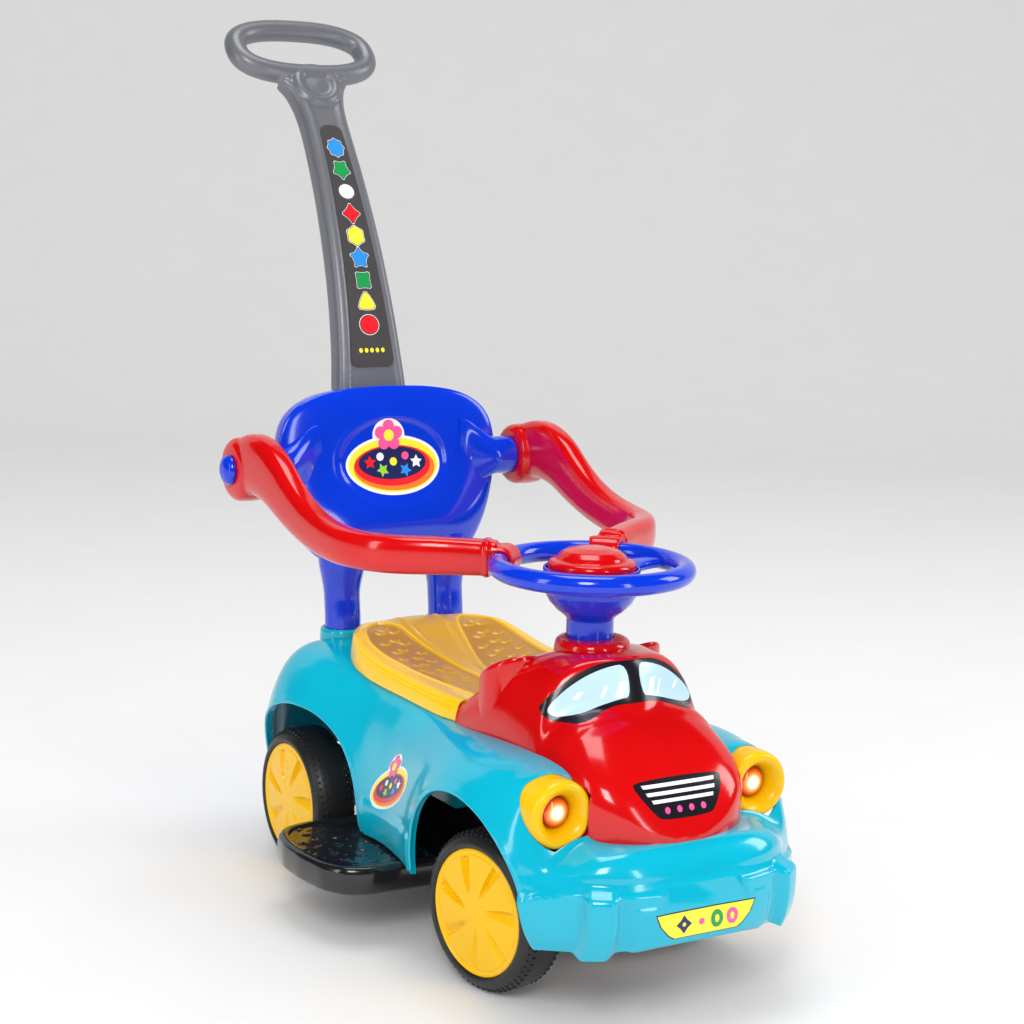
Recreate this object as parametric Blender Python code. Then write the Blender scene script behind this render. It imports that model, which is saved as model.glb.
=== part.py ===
"""Ride-on push car for a toddler: moulded body on four wheels, hood, seat lid, backrest on two posts,
two swing-up guard arms that rest on the steering wheel, steered front axle, and a push handle.

Metres, +Z up, the front of the car points to -Y, the car's left side is +X. Shapes are laid out in car
coordinates (y = 0 midway between the axles) and moved by Y_SHIFT so that the origin is at the bottom centre
of the bounding box. At rest the front wheels are turned by STEER_REST.
"""

import math

import bpy
from mathutils import Matrix, Vector

# ---------------------------------------------------------------- driving dimensions (metres, degrees)
WHEELBASE_HALF = 0.171      # axle to the middle of the car
AXLE_Z = 0.070              # axle height, equal to the tyre radius
TYRE_R = 0.070
DISC_R = 0.0552
WHEEL_OUT = 0.1310          # outer face of the wheel disc from the middle plane
WHEEL_IN = 0.0900           # inner edge of the wheel disc
AXLE_R = 0.0040
STEER_REST = 10.0           # front wheels at rest, right wheel forward
FRONT_Y = -0.3450           # front face of the bumper
ARCH_TOP = 0.1745           # top of the wheel openings
HOOD_BASE = 0.1480          # lower edge of the hood
SHELL_T = 0.0030            # wall of the moulded shells
FIT = 0.0004                # gap between two fitted pieces
COLUMN_Y = -0.1615          # steering axis
AXLE_FRONT = -0.171         # front axle
RING_Z = 0.3530             # steering wheel ring, middle
RING_R = 0.0815
RING_TUBE = 0.0092
PIVOT_Y, PIVOT_Z = 0.2142, 0.3955   # guard arm hinge
POST_X, POST_Y, POST_R = 0.0590, 0.2000, 0.0180
BACK_Z0, BACK_Y0, BACK_LEAN = 0.300, 0.2070, 0.105   # parting plane of the backrest: y = BACK_Y0 + BACK_LEAN (z - BACK_Z0)
LAMP_X, LAMP_Z, LAMP_FRONT = 0.0998, 0.1768, -0.2790
LOOP_Y, LOOP_Z, LOOP_TILT = 0.4350, 0.8050, 45.0     # grip loop of the push handle
LOOP_A, LOOP_H, LOOP_TUBE = 0.0750, 0.0335, 0.0115
HANDLE_Z0 = 0.4666          # where the handle leaves the backrest
SEAT_HINGE_Y, SEAT_HINGE_Z = -0.0835, 0.2250
HORN_TRAVEL = 0.0035

Y_REAR = LOOP_Y + LOOP_H * math.sin(math.radians(LOOP_TILT)) + LOOP_TUBE
Y_SHIFT = -(FRONT_Y + Y_REAR) / 2

RED, BLUE, CYAN, YELLOW = (0.80, 0.006, 0.010), (0.004, 0.035, 0.72), (0.0, 0.52, 0.70), (0.98, 0.56, 0.004)
BLACK, SILVER, STEEL, PANEL, LAMP = (0.012, 0.012, 0.013), (0.23, 0.24, 0.27), (0.55, 0.55, 0.57), (0.06, 0.055, 0.06), (0.9, 0.16, 0.03)

for obj in list(bpy.data.objects):
    bpy.data.objects.remove(obj, do_unlink=True)


# ---------------------------------------------------------------- helpers
def material(name, colour, rough, metal=0.0):
    mat = bpy.data.materials.new(name)
    mat.use_nodes = True
    bsdf = mat.node_tree.nodes["Principled BSDF"]
    bsdf.inputs["Base Color"].default_value = (*colour, 1)
    bsdf.inputs["Roughness"].default_value = rough
    bsdf.inputs["Metallic"].default_value = metal
    mat.diffuse_color = (*colour, 1)
    return mat


def curve(points, t):
    """Smooth value through (t, value) points, with slopes that keep it from overshooting."""
    if t <= points[0][0]:
        return points[0][1]
    if t >= points[-1][0]:
        return points[-1][1]
    slopes = []
    steps = [(b[1] - a[1]) / (b[0] - a[0]) for a, b in zip(points, points[1:])]
    for i in range(len(points)):
        if i in (0, len(points) - 1):
            slopes.append(steps[0] if i == 0 else steps[-1])
        else:
            a, b = steps[i - 1], steps[i]
            slopes.append(0.0 if a * b <= 0 else 2 * a * b / (a + b))
    for i, (a, b) in enumerate(zip(points, points[1:])):
        if t <= b[0]:
            h = b[0] - a[0]
            s = (t - a[0]) / h
            return ((2 * s**3 - 3 * s**2 + 1) * a[1] + (s**3 - 2 * s**2 + s) * h * slopes[i]
                    + (3 * s**2 - 2 * s**3) * b[1] + (s**3 - s**2) * h * slopes[i + 1])


def make(name, verts, faces, mat=None, origin=(0, 0, 0), helper=False, turn=None):
    """A mesh object; verts are in car coordinates, origin too. turn is a matrix applied in car coordinates."""
    place = Vector(origin) + Vector((0, Y_SHIFT, 0))
    pts = [Vector(v) for v in verts]
    if turn is not None:
        pts = [turn @ p for p in pts]
        place = turn @ Vector(origin) + Vector((0, Y_SHIFT, 0))
    mesh = bpy.data.meshes.new(name)
    mesh.from_pydata([p + Vector((0, Y_SHIFT, 0)) - place for p in pts], [], faces)
    mesh.validate()
    obj = bpy.data.objects.new(name, mesh)
    obj.location = place
    bpy.context.scene.collection.objects.link(obj)
    if mat is not None:
        mesh.materials.append(mat)
    if helper:
        obj.hide_render = True
        obj.display_type = "WIRE"
    return obj


def facing_out(verts, faces):
    """The faces, turned round if they enclose a negative volume."""
    total = 0.0
    for face in faces:
        a = Vector(verts[face[0]])
        for i in range(1, len(face) - 1):
            total += a.dot(Vector(verts[face[i]]).cross(Vector(verts[face[i + 1]])))
    return faces if total > 0 else [tuple(reversed(f)) for f in faces]


def loft(loops, closed=False):
    """Verts and faces of closed loops joined in order, capped at both ends unless the loops form a ring."""
    n = len(loops[0])
    verts = [p for loop in loops for p in loop]
    faces = []
    last = len(loops) if closed else len(loops) - 1
    for j in range(last):
        for i in range(n):
            a, b = j * n + i, j * n + (i + 1) % n
            k = (j + 1) % len(loops)
            c, d = k * n + (i + 1) % n, k * n + i
            faces.append((a, b, c, d))
    if not closed:
        faces.append(tuple(range(n - 1, -1, -1)))
        faces.append(tuple((len(loops) - 1) * n + i for i in range(n)))
    return verts, facing_out(verts, faces)


def lathe(profile, centre, axis, seg):
    """A closed body turned about an axis through centre. profile is (distance from the axis, height along it)."""
    axis = Vector(axis).normalized()
    side = Vector((1, 0, 0)) if abs(axis.x) < 0.9 else Vector((0, 0, 1))
    u = axis.cross(side).normalized()
    v = axis.cross(u)
    verts, rows = [], []
    for r, h in profile:
        base = Vector(centre) + axis * h
        if r == 0:
            rows.append([len(verts)])
            verts.append(base)
        else:
            rows.append(list(range(len(verts), len(verts) + seg)))
            verts += [base + (u * math.cos(2 * math.pi * i / seg) + v * math.sin(2 * math.pi * i / seg)) * r for i in range(seg)]
    faces = []
    open_profile = profile[0][0] == 0 or profile[-1][0] == 0
    pairs = list(zip(rows, rows[1:])) + ([] if open_profile else [(rows[-1], rows[0])])
    for a, b in pairs:
        for i in range(seg):
            j = (i + 1) % seg
            if len(a) == 1:
                faces.append((a[0], b[i], b[j]))
            elif len(b) == 1:
                faces.append((a[i], b[0], a[j]))
            else:
                faces.append((a[i], b[i], b[j], a[j]))
    return verts, facing_out(verts, faces)


def rod(start, end, radius, seg):
    start, end = Vector(start), Vector(end)
    length = (end - start).length
    return lathe([(0, 0), (radius, 0), (radius, length), (0, length)], start, end - start, seg)


def torus(centre, major, minor, seg, sides, flat=1.0):
    loops = []
    for i in range(seg):
        a = 2 * math.pi * i / seg
        out = Vector((math.cos(a), math.sin(a), 0))
        loops.append([Vector(centre) + out * (major + minor * math.cos(2 * math.pi * k / sides)) + Vector((0, 0, minor * flat * math.sin(2 * math.pi * k / sides))) for k in range(sides)])
    return loft(loops, closed=True)


def box(lo, hi):
    x0, y0, z0 = lo
    x1, y1, z1 = hi
    verts = [(x, y, z) for x in (x0, x1) for y in (y0, y1) for z in (z0, z1)]
    return verts, facing_out(verts, [(0, 1, 3, 2), (4, 6, 7, 5), (0, 4, 5, 1), (2, 3, 7, 6), (0, 2, 6, 4), (1, 5, 7, 3)])


def prism(outline, lo, hi, axis):
    """The outline of 2-D points drawn along an axis. For x the points are (y, z), for z they are (x, y)."""
    if axis == "x":
        loops = [[Vector((h, p[0], p[1])) for p in outline] for h in (lo, hi)]
    else:
        loops = [[Vector((p[0], p[1], h)) for p in outline] for h in (lo, hi)]
    return loft(loops)


def rounded(width, depth, radius, steps):
    """Rounded rectangle, (across, deep), as a closed loop."""
    out = []
    for cx, cy, a0 in ((1, 1, 0), (-1, 1, 90), (-1, -1, 180), (1, -1, 270)):
        for k in range(steps + 1):
            a = math.radians(a0 + 90 * k / steps)
            out.append((cx * (width / 2 - radius) + radius * math.cos(a), cy * (depth / 2 - radius) + radius * math.sin(a)))
    return out


def mirrored(shape):
    verts, faces = shape
    return [Vector((-v[0], v[1], v[2])) for v in verts], [tuple(reversed(f)) for f in faces]


def both(obj_name, shape, mat, origin=(0, 0, 0)):
    """The piece of the car's left side (+X) and its mirror image."""
    left = make(obj_name + "_left", *shape, mat=mat, origin=origin)
    right = make(obj_name + "_right", *mirrored(shape), mat=mat, origin=(-origin[0], origin[1], origin[2]))
    return left, right


def boolean(obj, shape, operation, name, solver="EXACT"):
    helper = make("cut_" + obj.name + "_" + name, *shape, helper=True)
    mod = obj.modifiers.new(name, "BOOLEAN")
    mod.object = helper
    mod.operation = operation
    mod.solver = solver
    return helper


# ---------------------------------------------------------------- body shell
BODY_W = [(-0.345, 0.052), (-0.341, 0.076), (-0.333, 0.094), (-0.320, 0.110), (-0.305, 0.122), (-0.285, 0.135), (-0.260, 0.144),
          (-0.200, 0.1485), (-0.140, 0.146), (-0.090, 0.135), (-0.040, 0.122), (0.020, 0.1155), (0.060, 0.119), (0.100, 0.130),
          (0.140, 0.1405), (0.180, 0.1415), (0.210, 0.136), (0.235, 0.125), (0.250, 0.112), (0.260, 0.095), (0.264, 0.075)]
BODY_T = [(-0.345, 0.120), (-0.341, 0.134), (-0.3345, 0.1455), (-0.328, 0.1520), (-0.321, 0.1540), (-0.300, 0.1545), (-0.288, 0.1560), (-0.277, 0.1750), (-0.268, 0.192),
          (-0.255, 0.204), (-0.200, 0.209), (-0.140, 0.208), (-0.090, 0.2065), (0.0, 0.2085), (0.060, 0.210), (0.100, 0.214),
          (0.130, 0.2190), (0.160, 0.2230), (0.190, 0.2260), (0.205, 0.2230), (0.220, 0.210), (0.235, 0.190), (0.250, 0.162), (0.260, 0.140), (0.264, 0.128)]
BODY_B = [(-0.345, 0.068), (-0.300, 0.066), (-0.270, 0.068), (-0.090, 0.0728), (0.080, 0.0728), (0.240, 0.086), (0.264, 0.090)]
BODY_TOP = [(-0.345, 0.024), (-0.325, 0.036), (-0.300, 0.050), (-0.285, 0.058), (-0.262, 0.084), (-0.200, 0.088), (-0.090, 0.088), (0.060, 0.086), (0.160, 0.082), (0.220, 0.072), (0.264, 0.045)]
BODY_STATIONS = [-0.345, -0.341, -0.333, -0.320, -0.303, -0.288, -0.277, -0.266, -0.250, -0.225, -0.200, -0.170, -0.140, -0.112, -0.085, -0.055,
                 -0.020, 0.020, 0.055, 0.085, 0.112, 0.140, 0.168, 0.195, 0.212, 0.228, 0.243, 0.256, 0.264]


def body_loop(y, inset, floor=None, steps=5):
    """Cross-section of the body at y as a closed loop."""
    w, top = curve(BODY_W, y) - inset, curve(BODY_T, y) - inset
    low = curve(BODY_B, y) if floor is None else floor
    flat = min(curve(BODY_TOP, y) - inset, w - 0.004)
    mid = min(0.108, low + 0.6 * (top - low)) if floor is None else min(0.108, 0.07 + 0.6 * (top - 0.07))
    half = [(w - 0.003, low), (w - 0.0005, low + 0.4 * (mid - low))]
    for k in range(steps + 1):
        a = math.pi / 2 * k / steps
        half.append((flat + (w - flat) * math.cos(a) ** 0.8, mid + (top - mid) * math.sin(a) ** 0.8))
    return [Vector((x, y, z)) for x, z in half] + [Vector((-x, y, z)) for x, z in reversed(half)]


def body_outer():
    return loft([body_loop(y, 0) for y in BODY_STATIONS])


def body_inner():
    ys = [min(max(y, FRONT_Y + SHELL_T), 0.264 - SHELL_T) for y in BODY_STATIONS]
    return loft([body_loop(y, SHELL_T, floor=0.030) for y in ys])


def arch(centre, ahead, behind, square, lo, hi):
    """Wheel opening in side view: straight sides and a round head, reaching ahead and behind its middle."""
    outline = [(centre - ahead, 0.02)]
    for k in range(13):
        a = math.pi - math.pi * k / 12
        reach = ahead if k < 6 else behind
        outline.append((centre + reach * math.cos(a), 0.078 + (ARCH_TOP - 0.078) * math.sin(a) ** square))
    outline.append((centre + behind, 0.02))
    return prism(outline, lo, hi, "x")


# ---------------------------------------------------------------- hood
HOOD_TOP = [(-0.3230, 0.1570), (-0.3212, 0.1620), (-0.3180, 0.1690), (-0.3145, 0.1775), (-0.308, 0.1895), (-0.296, 0.2040), (-0.280, 0.2165), (-0.263, 0.2295), (-0.250, 0.2400),
            (-0.2430, 0.2480), (-0.2380, 0.2560), (-0.2330, 0.2690), (-0.2270, 0.2810), (-0.2120, 0.2860), (-0.190, 0.2870), (-0.165, 0.2840), (-0.140, 0.2730),
            (-0.120, 0.2590), (-0.100, 0.2430), (-0.088, 0.2320)]
HOOD_W = [(-0.3230, 0.010), (-0.3212, 0.0205), (-0.3174, 0.0345), (-0.3120, 0.0455), (-0.306, 0.0545), (-0.298, 0.0630), (-0.290, 0.0695), (-0.280, 0.0745), (-0.268, 0.0780), (-0.250, 0.0810),
          (-0.225, 0.0835), (-0.200, 0.0860), (-0.160, 0.0895), (-0.120, 0.0920), (-0.088, 0.0925)]
HOOD_EX = [(-0.3230, 0.60), (-0.312, 0.50), (-0.300, 0.42), (-0.275, 0.30), (-0.245, 0.32), (-0.225, 0.50), (-0.200, 0.60), (-0.170, 0.52), (-0.130, 0.36), (-0.088, 0.34)]
HOOD_EZ = [(-0.3175, 0.55), (-0.300, 0.40), (-0.275, 0.30), (-0.245, 0.32), (-0.225, 0.50), (-0.200, 0.60), (-0.170, 0.60), (-0.130, 0.55), (-0.088, 0.36)]
HOOD_STATIONS = [-0.3230, -0.3205, -0.3160, -0.310, -0.302, -0.292, -0.280, -0.264, -0.250, -0.242, -0.236, -0.230, -0.223, -0.208, -0.187, -0.160, -0.138, -0.118, -0.100, -0.088]


def hood_loop(y, inset, floor=None, steps=6):
    w, top = curve(HOOD_W, y) - inset, curve(HOOD_TOP, y) - inset
    low = HOOD_BASE if floor is None else floor
    knee = min(0.168, HOOD_BASE + 0.5 * (top - HOOD_BASE))
    half = [(w - 0.0015, low)]
    for k in range(steps + 1):
        a = math.pi / 2 * k / steps
        if k == steps:
            half.append((w * 0.12, top))
        else:
            half.append((w * math.cos(a) ** curve(HOOD_EX, y), knee + (top - knee) * math.sin(a) ** curve(HOOD_EZ, y)))
    return [Vector((x, y, z)) for x, z in half] + [Vector((-x, y, z)) for x, z in reversed(half)]


def hood_outer(grow=0.0, floor=None):
    ys = list(HOOD_STATIONS)
    if grow:
        ys[0] -= grow
        ys[-1] += grow
    return loft([hood_loop(y, -grow, floor) for y in ys])


def hood_inner():
    ys = [-0.3175] + HOOD_STATIONS[3:-1] + [-0.088 - SHELL_T]
    return loft([hood_loop(y, SHELL_T, floor=0.120) for y in ys])


def pod(side):
    """Upright round pod behind each end of the windscreen, its top falling to the rear."""
    loops = []
    for z, k in ((0.2150, 0.995), (0.2320, 0.99), (-0.0045, 0.975), (0.0, 0.92)):
        loop = []
        for i in range(16):
            a = 2 * math.pi * i / 16
            x, y = 0.0600 + 0.0300 * k * math.cos(a), -0.1330 + 0.0300 * k * math.sin(a)
            top = 0.2824 - 0.607 * (y + 0.1623) + 0.10 * (x - 0.0675)
            loop.append(Vector((side * x, y, z if z > 0.1 else top + z)))
        loops.append(loop if side > 0 else loop[::-1])
    return loft(loops)


# ---------------------------------------------------------------- seat
SEAT_W = [(-0.083, 0.090), (-0.060, 0.0940), (0.0, 0.0955), (0.060, 0.0965), (0.100, 0.0945), (0.128, 0.0865), (0.148, 0.0740), (0.164, 0.0560), (0.173, 0.0380), (0.1765, 0.022)]
SEAT_SHOULDER = [(-0.083, 0.2260), (0.0, 0.2280), (0.060, 0.2310), (0.100, 0.2370), (0.130, 0.2440), (0.155, 0.2450), (0.170, 0.2400), (0.1765, 0.2350)]
SEAT_CENTRE = [(-0.083, 0.2180), (0.0, 0.2175), (0.035, 0.2190), (0.070, 0.2250), (0.105, 0.2350), (0.130, 0.2450), (0.150, 0.2475), (0.170, 0.2430), (0.1765, 0.2365)]
SEAT_STATIONS = [-0.083, -0.078, -0.060, -0.030, 0.0, 0.030, 0.060, 0.088, 0.112, 0.130, 0.146, 0.158, 0.167, 0.1735, 0.1765]


def seat_loop(y, inset, floor=None):
    w, sh, mid = curve(SEAT_W, y) - inset, curve(SEAT_SHOULDER, y) - inset, curve(SEAT_CENTRE, y) - inset
    low = curve(BODY_T, y) + FIT if floor is None else floor
    half = [(w - 0.001, low), (w, low + 0.35 * (sh - low)), (w * 0.985, low + 0.75 * (sh - low)), (w * 0.955, sh - 0.0015), (w * 0.90, sh), (w * 0.80, sh - 0.0002)]
    for k in (0.35, 0.70):
        half.append((w * 0.80 * (1 - k), sh + (mid - sh) * (3 * k**2 - 2 * k**3)))
    half.append((w * 0.06, mid))
    return [Vector((x, y, z)) for x, z in half] + [Vector((-x, y, z)) for x, z in reversed(half)]


# ---------------------------------------------------------------- backrest
BACK_HALF = [(0.0, 0.2960), (0.045, 0.2960), (0.076, 0.2975), (0.0885, 0.3040), (0.0975, 0.3180), (0.1090, 0.3400), (0.1165, 0.3650), (0.1205, 0.3950),
             (0.1205, 0.4200), (0.1150, 0.4400), (0.1010, 0.4550), (0.0780, 0.4645), (0.0460, 0.4695), (0.0, 0.4710)]
BACK_MID_Z = 0.388


def back_y(z):
    return BACK_Y0 + BACK_LEAN * (z - BACK_Z0)


def back_ring(scale, depth, inset):
    """The outline pulled in towards the middle of the shield by scale, at a depth from the parting plane (a function of z)."""
    points = BACK_HALF[:-1] + [(-x, z) for x, z in reversed(BACK_HALF[1:])]
    loop = []
    for x, z in points:
        dx, dz = x, z - BACK_MID_Z
        length = math.hypot(dx, dz)
        k = scale * (length - inset) / length
        loop.append(Vector((dx * k, back_y(BACK_MID_Z + dz * k) + depth(BACK_MID_Z + dz * k), BACK_MID_Z + dz * k)))
    return loop


def back_half(sign, bulge):
    """Half of the shield: a dished shell with its rim on the parting plane. sign -1 is the front half, bulge is a (z, depth) table."""
    outer, inner = [], []
    for s in (1.0, 0.975, 0.88, 0.66, 0.36, 0.05):
        rise = (1 - s ** 2.6) ** (1 / 2.2)
        outer.append(back_ring(s, lambda z: sign * (FIT / 2 + curve(bulge, z) * rise), 0))
        inner.append(back_ring(s, lambda z: sign * (FIT / 2 + (curve(bulge, z) - SHELL_T) * rise), SHELL_T))
    return loft(outer[::-1] + inner)


# ---------------------------------------------------------------- push handle
def handle_front(z):
    """Front line of the column, y for a height z."""
    t = z - HANDLE_Z0
    return 0.2518 + 0.172 * t + (0.965 * t * t if t > 0 else 0.0)


def handle_slope(z):
    t = z - HANDLE_Z0
    return 0.172 + (1.93 * t if t > 0 else 0.0)


HANDLE_WIDTH = [(0.380, 0.0720), (0.460, 0.0780), (0.500, 0.0725), (0.560, 0.0650), (0.620, 0.0590), (0.690, 0.0525), (0.735, 0.0495), (0.756, 0.0515), (0.774, 0.0600)]
HANDLE_DEPTH = [(0.380, 0.0280), (0.460, 0.0300), (0.740, 0.0260), (0.772, 0.0230)]


def handle_section(z, width, depth, radius, front, steps=3):
    """Cross-section square to the bent column; front shifts it forward from the front line."""
    slope = handle_slope(z)
    along = Vector((0, slope, 1)).normalized()
    back = Vector((0, along.z, -along.y))
    origin = Vector((0, handle_front(z), z)) + back * (depth / 2 - front)
    return [origin + Vector((a, 0, 0)) + back * b for a, b in rounded(width, depth, radius, steps)]


HANDLE_STATIONS = [0.385, 0.425, 0.4666, 0.515, 0.560, 0.605, 0.645, 0.685, 0.720, 0.750, 0.774]


def handle_column(grow=0.0, z_list=None):
    return loft([handle_section(z, curve(HANDLE_WIDTH, z) + 2 * grow, curve(HANDLE_DEPTH, z) + 2 * grow, 0.0085 + grow, grow) for z in (z_list or HANDLE_STATIONS)])


def grip_point(a):
    tilt = math.radians(LOOP_TILT)
    c, s = math.cos(a), math.sin(a)
    x = LOOP_A * math.copysign(abs(c) ** 0.85, c)
    h = LOOP_H * math.copysign(abs(s) ** 0.80, s)
    return Vector((x, LOOP_Y + h * math.sin(tilt), LOOP_Z + h * math.cos(tilt)))


def grip_loop(seg=28, sides=8):
    tilt = math.radians(LOOP_TILT)
    normal = Vector((0, math.cos(tilt), -math.sin(tilt)))
    loops = []
    for i in range(seg):
        a = 2 * math.pi * i / seg
        p = grip_point(a)
        tangent = (grip_point(a + 0.02) - grip_point(a - 0.02)).normalized()
        out = tangent.cross(normal).normalized()
        loops.append([p + (out * math.cos(2 * math.pi * k / sides) + normal * math.sin(2 * math.pi * k / sides)) * LOOP_TUBE for k in range(sides)])
    return loft(loops, closed=True)


# ---------------------------------------------------------------- guard arm (car's left side)
ARM_PATH = [(0.1590, 0.2142, 0.3975), (0.1600, 0.1850, 0.4050), (0.1600, 0.1500, 0.3985), (0.1595, 0.1200, 0.3830), (0.1590, 0.0850, 0.3680), (0.1580, 0.0450, 0.3580),
            (0.1560, 0.0100, 0.3545), (0.1500, -0.0180, 0.3540), (0.1380, -0.0400, 0.3540), (0.1180, -0.0570, 0.3545), (0.0930, -0.0740, 0.3550), (0.0690, -0.0920, 0.3555),
            (0.0500, -0.1070, 0.3560), (0.0405, -0.1145, 0.3560)]
ARM_TALL = [0.0560, 0.0600, 0.0560, 0.0480, 0.0410, 0.0370, 0.0350, 0.0340, 0.0340, 0.0340, 0.0330, 0.0330, 0.0320, 0.0300]
ARM_THICK = [0.0300, 0.0290, 0.0270, 0.0250, 0.0240, 0.0240, 0.0240, 0.0240, 0.0240, 0.0240, 0.0250, 0.0280, 0.0280, 0.0260]


def arm_sweep():
    loops = []
    n = len(ARM_PATH)
    for i in range(n):
        p = Vector(ARM_PATH[i])
        ahead = Vector(ARM_PATH[min(i + 1, n - 1)]) - Vector(ARM_PATH[max(i - 1, 0)])
        ahead.normalize()
        across = ahead.cross(Vector((0, 0, 1))).normalized()
        up = across.cross(ahead).normalized()
        if i == 0:
            across, up = Vector((-1, 0, 0)), Vector((0, 0, 1))
        tall, thick = ARM_TALL[i], ARM_THICK[i]
        loops.append([p + across * a + up * b for a, b in rounded(thick, tall, min(thick, tall) * 0.42, 2)])
    return loft(loops)


# ---------------------------------------------------------------- wheels
def wheel_disc(seg=24):
    p = [(0, 0.1308), (0.0100, 0.1312), (0.0200, 0.1292), (0.0460, 0.1292), (0.0552, 0.1308), (0.0552, WHEEL_IN), (0.0522, WHEEL_IN), (0.0522, 0.1262),
         (0.0110, 0.1262), (0.0110, WHEEL_IN), (0.0044, WHEEL_IN), (0.0044, 0.1265), (0, 0.1265)]
    return lathe(p, (0, 0, 0), (1, 0, 0), seg)


def wheel_tyre(seg=24):
    p = [(0.0555, 0.0900), (0.0620, 0.0885), (0.0672, 0.0925), (0.0696, 0.1010), (TYRE_R, 0.1100), (0.0692, 0.1200), (0.0662, 0.1280), (0.0610, 0.1325), (0.0555, 0.1315)]
    return lathe(p, (0, 0, 0), (1, 0, 0), seg)


def placed(shape, offset):
    verts, faces = shape
    return [Vector(v) + Vector(offset) for v in verts], faces


STEER = Matrix.Translation((0, COLUMN_Y, 0)) @ Matrix.Rotation(math.radians(STEER_REST), 4, "Z") @ Matrix.Translation((0, -COLUMN_Y, 0))

# ================================================================ build
# body shell
body = make("body_shell", *body_outer(), mat=material("body_cyan", CYAN, 0.16))
for side, tag in ((1, "left"), (-1, "right")):
    # bumper overriders and post collars are moulded with the body
    x = side * 0.0905
    loops = []
    for z, k, front in ((0.0655, 0.80, -0.3262), (0.069, 1.0, -0.3282), (0.118, 1.0, -0.3282), (0.126, 0.95, -0.3262), (0.1300, 0.75, -0.3190)):
        loops.append([Vector((x + a * k, y, z)) for a, y in ((-0.0155, -0.300), (0.0155, -0.300), (0.0155, front + 0.006), (0.0105, front), (-0.0105, front), (-0.0155, front + 0.006))])
    boolean(body, loft(loops), "UNION", "overrider_" + tag)
    boolean(body, lathe([(0, 0.200), (0.0225, 0.200), (0.0225, 0.2300), (0.0215, 0.2320), (0, 0.2320)], (side * POST_X, POST_Y, 0), (0, 0, 1), 20), "UNION", "collar_" + tag)
boolean(body, body_inner(), "DIFFERENCE", "hollow")
boolean(body, hood_outer(FIT, floor=HOOD_BASE - FIT), "DIFFERENCE", "hood_seat")
boolean(body, box((-0.0700, -0.0550, 0.150), (0.0700, 0.1300, 0.260)), "DIFFERENCE", "storage_opening")
boolean(body, arch(-0.1860, 0.0965, 0.0965, 0.80, -0.2, 0.2), "DIFFERENCE", "front_arches")
boolean(body, arch(0.1390, 0.0985, 0.1025, 1.00, -0.2, 0.2), "DIFFERENCE", "rear_arches")
for side, tag in ((1, "left"), (-1, "right")):
    boolean(body, rod((side * POST_X, POST_Y, 0.15), (side * POST_X, POST_Y, 0.26), POST_R + FIT, 20), "DIFFERENCE", "post_hole_" + tag, "MANIFOLD")
for side, tag in ((1, "left"), (-1, "right")):
    boolean(body, rod((side * LAMP_X, LAMP_FRONT + 0.0455, LAMP_Z), (side * LAMP_X, LAMP_FRONT - 0.0025, LAMP_Z), 0.0290 + FIT, 20), "DIFFERENCE", "lamp_seat_" + tag, "MANIFOLD")

# chassis
black = material("chassis_black", BLACK, 0.30)
chassis = make("chassis_base", *box((-0.0840, -0.0700, 0.0480), (0.0840, 0.0950, 0.0560)), mat=black)
boolean(chassis, box((-0.0560, -0.0950, 0.0480), (0.0560, -0.0650, 0.0560)), "UNION", "nose_floor")
boolean(chassis, box((-0.0800, 0.0870, 0.0480), (0.0800, 0.0955, 0.0960)), "UNION", "rear_riser")
boolean(chassis, box((-0.0780, 0.0900, 0.0880), (0.0780, 0.2450, 0.0955)), "UNION", "rear_floor")
boolean(chassis, box((-0.0480, -0.0960, 0.0485), (0.0480, -0.0880, 0.1115)), "UNION", "riser")
boolean(chassis, box((-0.0480, -0.2600, 0.1040), (0.0480, -0.0890, 0.1120)), "UNION", "front_floor")
boolean(chassis, rod((0, COLUMN_Y, 0.0965), (0, COLUMN_Y, 0.1400), 0.0120, 20), "UNION", "shaft_boss")
for side, tag in ((1, "left"), (-1, "right")):
    boolean(chassis, box((side * 0.0600 - 0.0060, 0.1610, 0.0570), (side * 0.0600 + 0.0060, 0.1810, 0.0900)), "UNION", "axle_lug_" + tag)
boolean(chassis, rod((0, COLUMN_Y, 0.0900), (0, COLUMN_Y, 0.1500), AXLE_R + FIT, 20), "DIFFERENCE", "shaft_hole")
boolean(chassis, rod((-0.1, WHEELBASE_HALF, AXLE_Z), (0.1, WHEELBASE_HALF, AXLE_Z), AXLE_R + FIT, 20), "DIFFERENCE", "axle_hole", "MANIFOLD")


# footrests, one each side
def footrest(heights=((0.0470, 0.965), (0.0500, 0.99), (0.0650, 1.0), (0.0705, 0.975), (0.0722, 0.93))):
    outline = [(0.0845, -0.0600), (0.1300, -0.0600), (0.1650, -0.0570), (0.1850, -0.0440), (0.1945, -0.0200), (0.1965, 0.0300), (0.1920, 0.0720), (0.1780, 0.0900),
               (0.1500, 0.0960), (0.1200, 0.0960), (0.0845, 0.0935)]
    mid_x, mid_y = 0.135, 0.018
    loops = []
    for z, k in heights:
        loops.append([Vector((mid_x + (px - mid_x) * k if px > 0.09 or k < 0.95 and heights[0][0] < 0.045 else 0.0845, mid_y + (py - mid_y) * k, z)) for px, py in outline])
    return loft(loops)


for obj, side in zip(both("footrest", footrest(), black), (1, -1)):
    under = footrest(((0.0440, 0.930), (0.0660, 0.930), (0.0690, 0.900)))
    boolean(obj, under if side > 0 else mirrored(under), "DIFFERENCE", "underside")

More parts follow.
